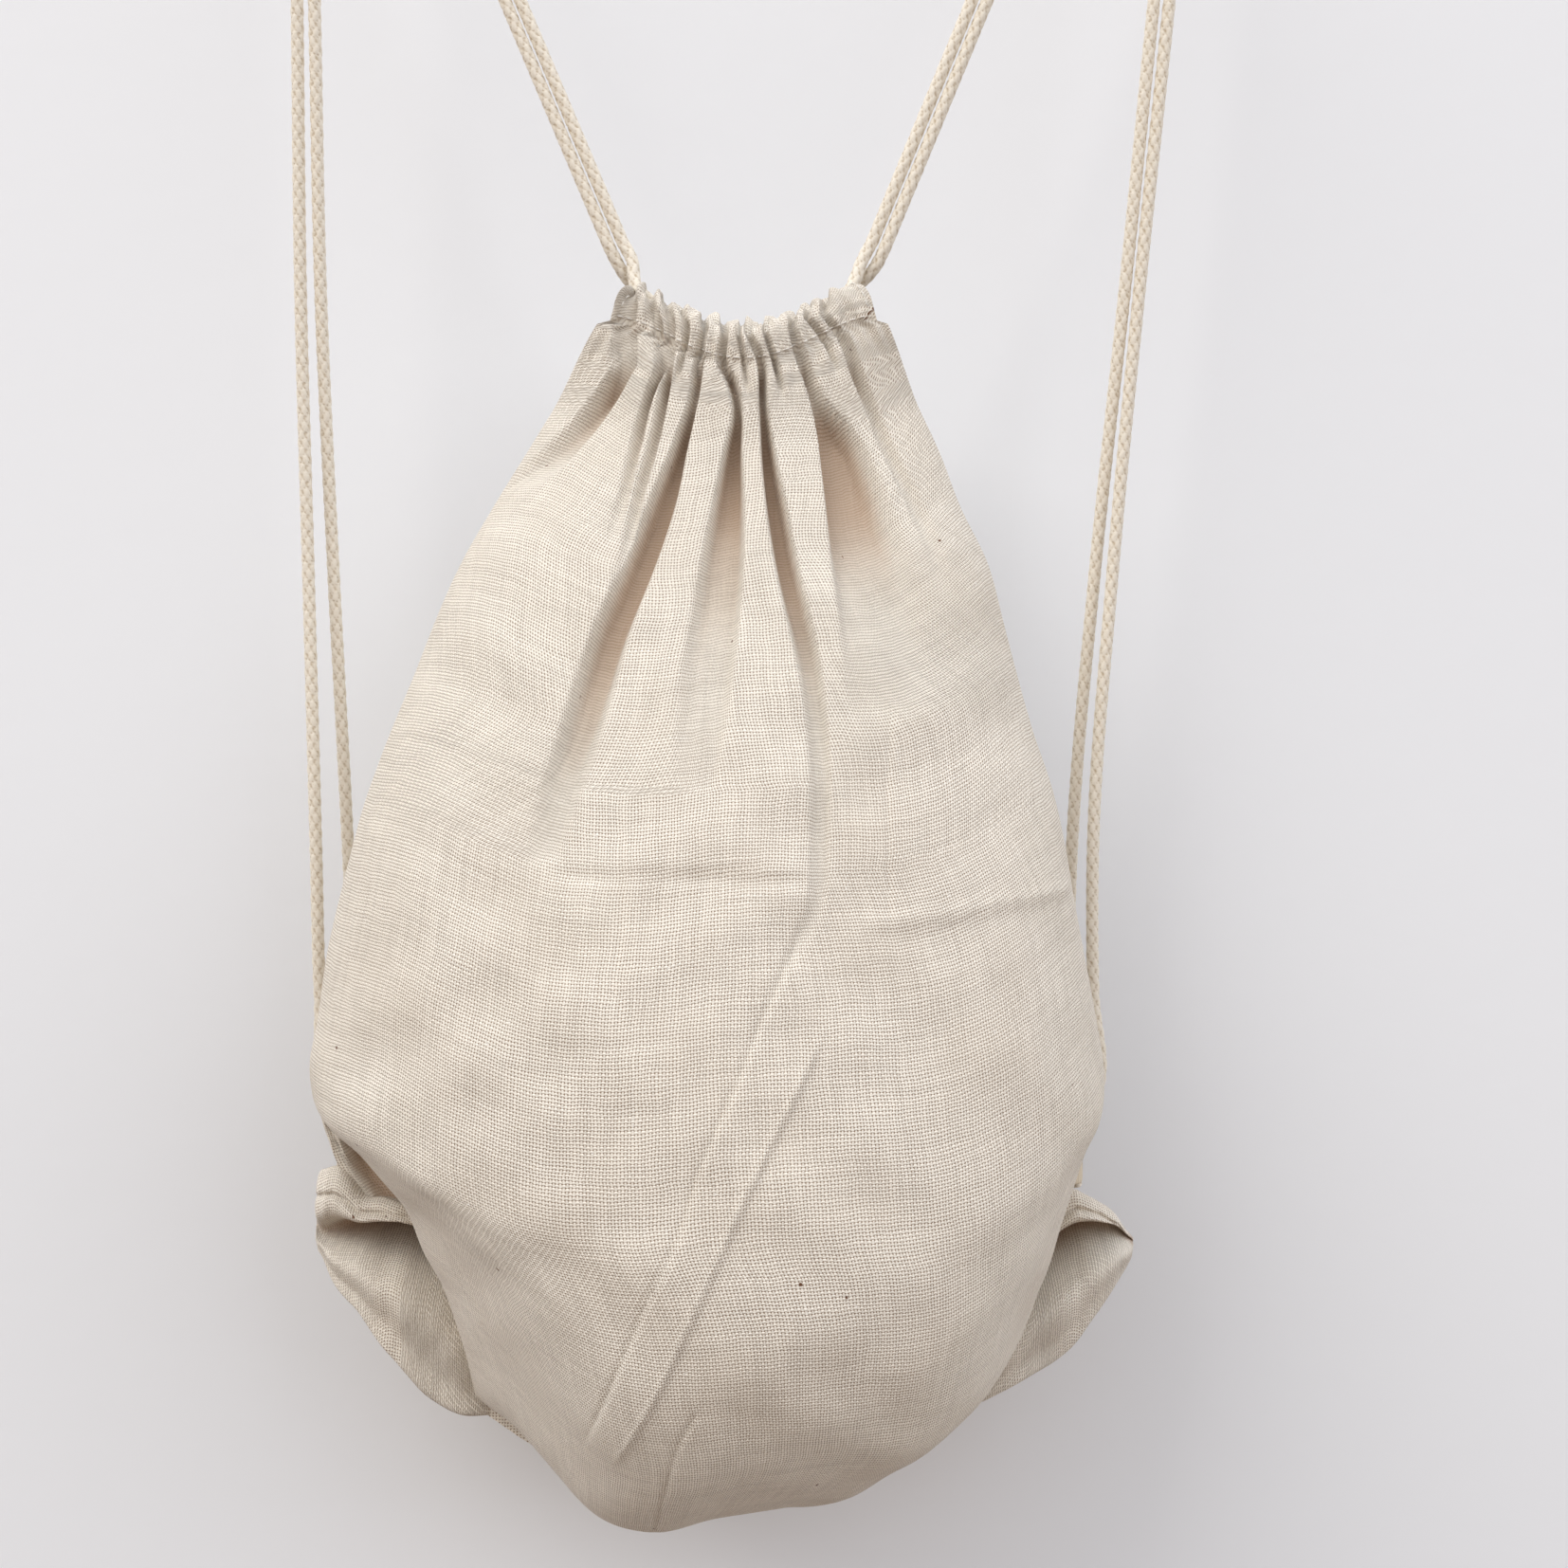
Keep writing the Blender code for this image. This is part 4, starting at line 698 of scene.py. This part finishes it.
# folded corners, side seams
ears = {
    # x, then heights of the top fold, the valley and the foot, then how far back (+Y) lie the top,
    # the upper face, the valley, the lower face and the foot, and the back
    -1: [(-0.1461, -0.5326, -0.5470, -0.5505, 0.008, 0.006, 0.007, 0.006, 0.008, 0.012),
         (-0.1450, -0.5300, -0.5485, -0.5530, 0.006, 0.001, 0.006, 0.001, 0.0038, 0.016),
         (-0.1420, -0.5280, -0.5494, -0.5570, 0.004, -0.003, 0.008, -0.002, 0.0008, 0.020),
         (-0.1382, -0.5274, -0.5488, -0.5635, 0.004, -0.004, 0.011, -0.005, -0.0022, 0.026),
         (-0.1335, -0.5310, -0.5480, -0.5688, 0.004, -0.005, 0.015, -0.007, -0.0042, 0.032),
         (-0.1290, -0.5366, -0.5475, -0.5731, 0.004, -0.005, 0.020, -0.008, -0.0052, 0.036),
         (-0.1219, -0.5379, -0.5469, -0.5827, 0.004, -0.004, 0.028, -0.009, -0.0062, 0.040),
         (-0.1139, -0.5408, -0.5472, -0.5923, 0.004, -0.002, 0.032, -0.009, -0.0062, 0.044),
         (-0.1043, -0.5488, -0.5540, -0.6026, 0.006, 0.002, 0.020, -0.008, -0.0052, 0.048),
         (-0.0947, -0.5616, -0.5680, -0.6083, 0.008, 0.004, 0.010, -0.006, -0.0032, 0.050),
         (-0.0877, -0.5744, -0.5790, -0.6102, 0.010, 0.006, 0.008, -0.002, 0.0008, 0.048),
         (-0.0780, -0.5850, -0.5900, -0.6110, 0.012, 0.010, 0.010, 0.006, 0.0088, 0.040)],
    1: [(0.1332, -0.5532, -0.5545, -0.5560, 0.012, 0.010, 0.011, 0.010, 0.012, 0.015),
        (0.1318, -0.5514, -0.5530, -0.5578, 0.009, 0.006, 0.009, 0.004, 0.006, 0.018),
        (0.1299, -0.5494, -0.5512, -0.5603, 0.007, 0.002, 0.007, -0.001, 0.004, 0.022),
        (0.1261, -0.5437, -0.5480, -0.5648, 0.005, -0.002, 0.009, -0.005, 0.001, 0.027),
        (0.1197, -0.5389, -0.5469, -0.5734, 0.004, -0.004, 0.012, -0.008, -0.001, 0.034),
        (0.1157, -0.5368, -0.5472, -0.5785, 0.004, -0.004, 0.015, -0.009, -0.002, 0.036),
        (0.1117, -0.5350, -0.5488, -0.5840, 0.004, -0.003, 0.018, -0.009, -0.002, 0.038),
        (0.1037, -0.5408, -0.5552, -0.5907, 0.005, 0.000, 0.019, -0.010, -0.003, 0.044),
        (0.0973, -0.5488, -0.5620, -0.5939, 0.006, 0.002, 0.012, -0.010, -0.004, 0.048),
        (0.0864, -0.5616, -0.5720, -0.5994, 0.008, 0.004, 0.008, -0.011, -0.006, 0.050),
        (0.0752, -0.5776, -0.5830, -0.6051, 0.010, 0.006, 0.006, -0.008, -0.004, 0.048),
        (0.0624, -0.5900, -0.5950, -0.6090, 0.012, 0.010, 0.010, 0.002, 0.004, 0.040)],
}


def earLoops(rows, columns, around):
    # a closed outline at each place across: top, upper face, valley, lower face, foot and back
    rows = np.array(rows, float)
    rows = rows[np.argsort(rows[:, 0])]
    x = np.interp(np.linspace(0, 1, columns), np.linspace(0, 1, len(rows)), rows[:, 0])
    values = spline(x, rows)
    top, valley, foot, yTop, yUpper, yValley, yLower, yFoot, yBack = (values[:, k] for k in range(9))
    upper, lower = (top + valley) / 2, (valley * 0.6 + foot * 0.4)
    ring = np.stack([np.stack(pair, -1) for pair in (
        (yTop, top), (yUpper, upper * 0.7 + top * 0.3),
        (yUpper, upper * 0.6 + valley * 0.4), (yValley, valley),
        (yLower, lower), (yLower * 0.7 + yFoot * 0.3, lower * 0.35 + foot * 0.65), (yFoot, foot),
        (yBack * 0.85 + yFoot * 0.15, foot * 0.75 + top * 0.25), (yBack, (top + foot) / 2),
        (yBack * 0.85 + yTop * 0.15, top * 0.8 + foot * 0.2))], axis=1)
    wrapped = np.concatenate((ring[:, -3:], ring, ring[:, :3]), axis=1)
    count = ring.shape[1]
    t = np.linspace(0, count, around, endpoint=False)
    k = np.floor(t).astype(int)
    f = (t - k)[None, :, None]
    a, b, c, d = (wrapped[:, k + 2 + step] for step in range(4))
    # a curve through the ring's points: each piece is a cubic of its four nearest points
    square, cube = 2 * a - 5 * b + 4 * c - d, 3 * b - a - 3 * c + d
    outline = 0.5 * (2 * b + (c - a) * f + square * f ** 2 + cube * f ** 3)
    return np.concatenate((np.repeat(x[:, None, None], around, 1), outline), axis=2)


def loopUv(loops):
    # arc length round each loop and along the row of loops, so the weave keeps its size
    around = np.cumsum(np.linalg.norm(np.diff(loops, axis=1, prepend=loops[:, :1]), axis=2), axis=1)
    along = np.cumsum(np.linalg.norm(np.diff(loops, axis=0, prepend=loops[:1]), axis=2).mean(1))
    return np.stack((np.repeat(along[:, None], loops.shape[1], 1), around), axis=-1)


for end, place in ((-1, "left"), (1, "right")):
    loops = earLoops(ears[end], 130, 150)
    wrinkle = 0.00025 * waves(loops[..., 0], loops[..., 2], 8, 0.008, 0.022, 40 + end)
    rows = np.array(sorted(ears[end]))
    top, valley = (np.interp(loops[..., 0], rows[:, 0], rows[:, k]) for k in (1, 2))
    ahead = ease((0.012 - loops[..., 1]) / 0.006)
    hem = top - 0.32 * (top - valley) - 0.0009           # the rolled rim ends in a line across the upper face
    loops[..., 1] += wrinkle * ease((np.abs(loops[..., 0]) - 0.06) / 0.02)
    loops[..., 1] += 0.0022 * np.exp(-((loops[..., 2] - hem) / 0.0008) ** 2) * ahead
    # painted shade along the corner's valley, passed on as the fold attribute
    paintedFoldShade = np.exp(-((loops[..., 2] - valley) / 0.0045) ** 2) * ease((0.036 - loops[..., 1]) / 0.01)
    paintedFoldShade = paintedFoldShade * ease((loops[..., 1] - 0.001) / 0.012)
    ear = loopPiece(f"{place}Corner", loops, bagCanvas, {"fold": paintedFoldShade}, flip=True, uv=loopUv(loops))
    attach(ear, "bag")

seams = {
    # height, then the outer and inner edge, all in metres, from the rim to the folded corner
    -1: [(-0.285, -0.0725, -0.0722), (-0.320, -0.0918, -0.0860), (-0.420, -0.1290, -0.1210),
         (-0.500, -0.1425, -0.1345),
         (-0.5060, -0.1449, -0.1370), (-0.5134, -0.1438, -0.1290), (-0.5175, -0.1424, -0.1220),
         (-0.5264, -0.1392, -0.1130), (-0.5330, -0.1350, -0.1070), (-0.5410, -0.1290, -0.1030)],
    1: [(-0.285, 0.0652, 0.0649), (-0.320, 0.0790, 0.0730), (-0.420, 0.1050, 0.0970),
        (-0.500, 0.1180, 0.1100),
        (-0.5060, 0.1205, 0.1140), (-0.5150, 0.1190, 0.1120), (-0.5250, 0.1153, 0.1080),
        (-0.5350, 0.1115, 0.1050), (-0.5400, 0.1088, 0.1030)],
}
seamBand = 0.0058      # the two rolled strips together
for end, place in ((-1, "left"), (1, "right")):
    rows = np.array(seams[end])
    levels = np.linspace(rows[0, 0], rows[-1, 0], 220)
    edges = spline(levels, rows)
    share = np.concatenate((np.linspace(0, 1, 25), np.linspace(1, 0, 8)[1:-1]))
    behind = np.concatenate((np.zeros(25), np.full(6, 1.0)))
    x = edges[:, :1] + (edges[:, 1:] - edges[:, :1]) * share
    strip = share[None, :] * (edges[:, 1:] - edges[:, :1]) * -end / seamBand
    rolled = 0.0042 * np.abs(np.sin(2 * np.pi * np.clip(strip, 0, 1))) ** 0.55 * (1 - behind)
    sunk = ease((strip - 0.9) / 0.15) * (1 - behind)      # past the strips the cloth lies back, and the fold attribute paints it darker there as shade
    y = 0.0075 - rolled + 0.0045 * sunk + 0.008 * behind[None, :]
    loops = np.stack((x, y, np.repeat(levels[:, None], len(share), 1)), axis=-1)
    seam = loopPiece(f"{place}SideSeam", loops, bagCanvas, {"fold": sunk}, flip=end > 0, uv=loopUv(loops))
    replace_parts(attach(seam, "bag"), f"{place}_side_seam")
print("corners made")


# cords inside the casings, stitches, corner loops
for end, place in ((-1, "left"), (1, "right")):
    channel = 1 if end < 0 else -1
    for side, label in ((-1, "front"), (1, "back")):
        runLine = tunnelPlace(side, channel, np.linspace(-cords["runHalf"], cords["runHalf"], 60))
        run = braidedTube(f"{place}{label.capitalize()}Run", smoothCurve(runLine, 0.0006), aside=(0, 0, 1))
        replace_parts(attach(run, f"{label}_rim"), f"{place}_cord_{label}_run")
    phi = np.linspace(0, np.pi, 13)
    x = np.concatenate(((0.0275,), 0.0300 + 0.0042 * np.sin(phi), (0.0275,)))
    y = 0.0066 * np.concatenate(((-1.08,), -np.cos(phi), (1.08,)))
    z = -0.2425 + channel * halfPair - np.concatenate(((0.001,), 0.0015 * np.sin(phi) ** 2, (0.001,)))
    turnPiece = braidedTube(f"{place}Turn", smoothCurve(np.stack((-end * x, y, z), axis=1), 0.0005),
                            aside=(0, 0, 1))
    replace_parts(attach(turnPiece, "bag"), f"{place}_cord_turn")

stitches = {"length": 0.0024, "gap": 0.0008, "radius": 0.00028, "lift": 0.0002}


def stitchRow(name, line, normals):
    # each stitch is a short bar that dips into the cloth at both ends
    run = np.concatenate(([0], np.cumsum(np.linalg.norm(np.diff(line, axis=0), axis=1))))
    pitch = stitches["length"] + stitches["gap"]
    starts = np.arange(0, run[-1] - stitches["length"], pitch)
    share = np.linspace(0, 1, 7)
    places = starts[:, None] + share * stitches["length"]
    centre = np.stack([np.interp(places, run, line[:, k]) for k in range(3)], axis=-1)
    outward = unit(np.stack([np.interp(places, run, normals[:, k]) for k in range(3)], axis=-1))
    forward = unit(np.gradient(centre, axis=1))
    crosswise = unit(np.cross(forward, outward))
    swell = np.sqrt(np.clip(1 - (2 * share - 1) ** 4, 0.02, 1))
    centre = centre + outward * (stitches["lift"] * (2 * swell - 1))[None, :, None]
    angle = np.linspace(0, 2 * np.pi, 8, endpoint=False)
    spread = stitches["radius"] * swell[None, :, None, None]
    loops = centre[:, :, None] + spread * (np.cos(angle)[:, None] * crosswise[:, :, None]
                                           + np.sin(angle)[:, None] * outward[:, :, None])
    count, steps, around = loops.shape[:3]
    base = np.arange(count)[:, None, None] * steps * around
    a = base + np.arange(steps - 1)[None, :, None] * around + np.arange(around)
    b = base + np.arange(steps - 1)[None, :, None] * around + (np.arange(around) + 1) % around
    quads = np.stack((a, b, b + around, a + around), axis=-1).reshape(-1, 4)
    caps = []
    for k in range(count):
        first = k * steps * around
        caps.append(list(range(first, first + around))[::-1])
        caps.append(list(range(first + (steps - 1) * around, first + steps * around)))
    thing = makePiece(name, loops, quads, caps, whiteThread)
    return thing


for label, face, points, normals in (("front", front, frontPoints, frontNormals),
                                     ("back", back, backPoints, backNormals)):
    row = face["rimRows"] - 3
    hem = stitchRow(f"{label}HemStitches", points[row, 8:-8], normals[row, 8:-8])
    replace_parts(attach(hem, f"{label}_rim"), f"{label}_hem_thread")
    for name, column in (("left", 12), ("right", -13)):
        span = slice(face["rimRows"] // 2, face["rimRows"] - 3)
        tack = stitchRow(f"{label}{name.capitalize()}Tack", points[span, column], normals[span, column])
        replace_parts(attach(tack, f"{label}_rim"), f"{label}_{name}_tack")

tape = {"width": 0.012, "thickness": 0.0011, "eye": 0.0056, "root": 0.0110, "edge": {-1: -0.1165, 1: 0.1065}}
for end, place in ((-1, "left"), (1, "right")):
    tab = cords["tab"][end] + cords["tabShift"][end]
    base = np.array((tape["edge"][end], tape["root"], tab[2]))
    along = unit((tab - base) * (1, 1, 0))
    crosswise = np.array((-along[1], along[0], 0))
    length = np.linalg.norm((tab - base)[:2])
    turn = np.radians(np.linspace(150, -150, 31))
    line = [(0.0, 0.0008), (length - tape["eye"] * 1.6, 0.0008)]
    line += [(length + tape["eye"] * math.cos(t), tape["eye"] * math.sin(t)) for t in turn]
    line += [(length - tape["eye"] * 1.6, -0.0008), (0.0, -0.0008)]
    flat = np.array([base + along * a + crosswise * b for a, b in line])
    flat = smoothCurve(flat, 0.0008)
    outward = unit(np.cross(np.gradient(flat, axis=0), (0, 0, 1)))
    angle = np.linspace(0, 2 * np.pi, 16, endpoint=False)
    wide = np.sign(np.sin(angle)) * np.abs(np.sin(angle)) ** 0.4 * tape["width"] / 2
    thick = np.sign(np.cos(angle)) * np.abs(np.cos(angle)) ** 0.7 * tape["thickness"] / 2
    loops = flat[:, None] + outward[:, None] * thick[None, :, None]
    loops = loops + np.array((0, 0, 1)) * wide[None, :, None]
    thing = loopPiece(f"{place}CornerLoop", loops, cottonTape)
    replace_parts(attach(thing, "bag"), f"{place}_corner_tab")
    apart = crosswise * np.sign(crosswise[0]) * end
    foot = base + along * 0.010 + apart * (0.0008 + tape["thickness"] / 2 + 0.0002)
    rise = np.linspace(-0.0046, 0.0046, 12)[:, None] * np.array((0, 0, 1))
    tack = stitchRow(f"{place}LoopTack", foot + rise, np.repeat(apart[None], 12, axis=0))
    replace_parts(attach(tack, "bag"), f"{place}_tab_tack")

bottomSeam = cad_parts["bottom_seam"]
bottomSeam.data.materials.clear()
bottomSeam.data.materials.append(innerCanvas)
print("small pieces made")

# wall and light
wallMaterial, wallTree, wallShader = newMaterial("white painted plaster")
wallShader.inputs["Base Color"].default_value = colour("#edeff2")
wallShader.inputs["Roughness"].default_value = 0.95
wallPlace = node(wallTree, "TexCoord").outputs["Object"]
trowel = node(wallTree, "TexNoise", {"Vector": wallPlace, "Scale": 60.0, "Detail": 4.0}).outputs[0]
wallBump = node(wallTree, "Bump", {"Strength": 0.25, "Distance": 0.0004, "Height": trowel})
wallTree.links.new(wallBump.outputs[0], wallShader.inputs["Normal"])
# from behind, the wall lets the bag be seen and lit
rearFace = node(wallTree, "NewGeometry").outputs["Backfacing"]
shadowRay = node(wallTree, "LightPath").outputs["Is Shadow Ray"]
solidPart = maths(wallTree, "SUBTRACT", 1.0, maths(wallTree, "MAXIMUM", rearFace, shadowRay))
wallTree.links.new(solidPart, wallShader.inputs["Alpha"])
wallY = 0.0822
corners = np.array(((-3, wallY, -3), (3, wallY, -3), (3, wallY, 3), (-3, wallY, 3)))
wall = makePiece("wall", corners, np.array(((0, 1, 2, 3),)), [], wallMaterial)

light = {
    "above": "#eef3fb", "below": "#d6b494", "strengthAbove": 1.22, "strengthBelow": 0.30,
    "lamps": {"window": ((-2.0, -2.0, 2.2), 2.4, 68.0, "#fffaf3"),       # place, size, power, colour
              "fill": ((2.0, -2.2, 1.0), 2.4, 24.0, "#f6f9ff")},
}
world = bpy.data.worlds.new("soft daylight")
world.use_nodes = True
sky = world.node_tree
direction = node(sky, "SeparateXYZ", {0: node(sky, "TexCoord").outputs["Generated"]}).outputs[2]
share = rampValue(sky, direction, -0.55, 0.55)         # brighter and cooler from above than from the floor
tint = mixColour(sky, share, colour(light["below"]), colour(light["above"]))
strength = rampValue(sky, direction, -0.55, 0.55, light["strengthBelow"], light["strengthAbove"])
sky.links.new(tint, sky.nodes["Background"].inputs["Color"])
sky.links.new(strength, sky.nodes["Background"].inputs["Strength"])
bpy.context.scene.world = world
for name, (place, size, power, code) in light["lamps"].items():
    data = bpy.data.lights.new(name, "AREA")
    data.size, data.energy, data.color = size, power, colour(code)[:3]
    lamp = bpy.data.objects.new(name, data)
    lamp.location = place
    aim = Vector((0.0, 0.0, -0.40)) - Vector(place)
    lamp.rotation_euler = aim.to_track_quat("-Z", "Y").to_euler()
    bpy.context.scene.collection.objects.link(lamp)
bpy.context.scene.view_settings.view_transform = "Standard"
print("light set")
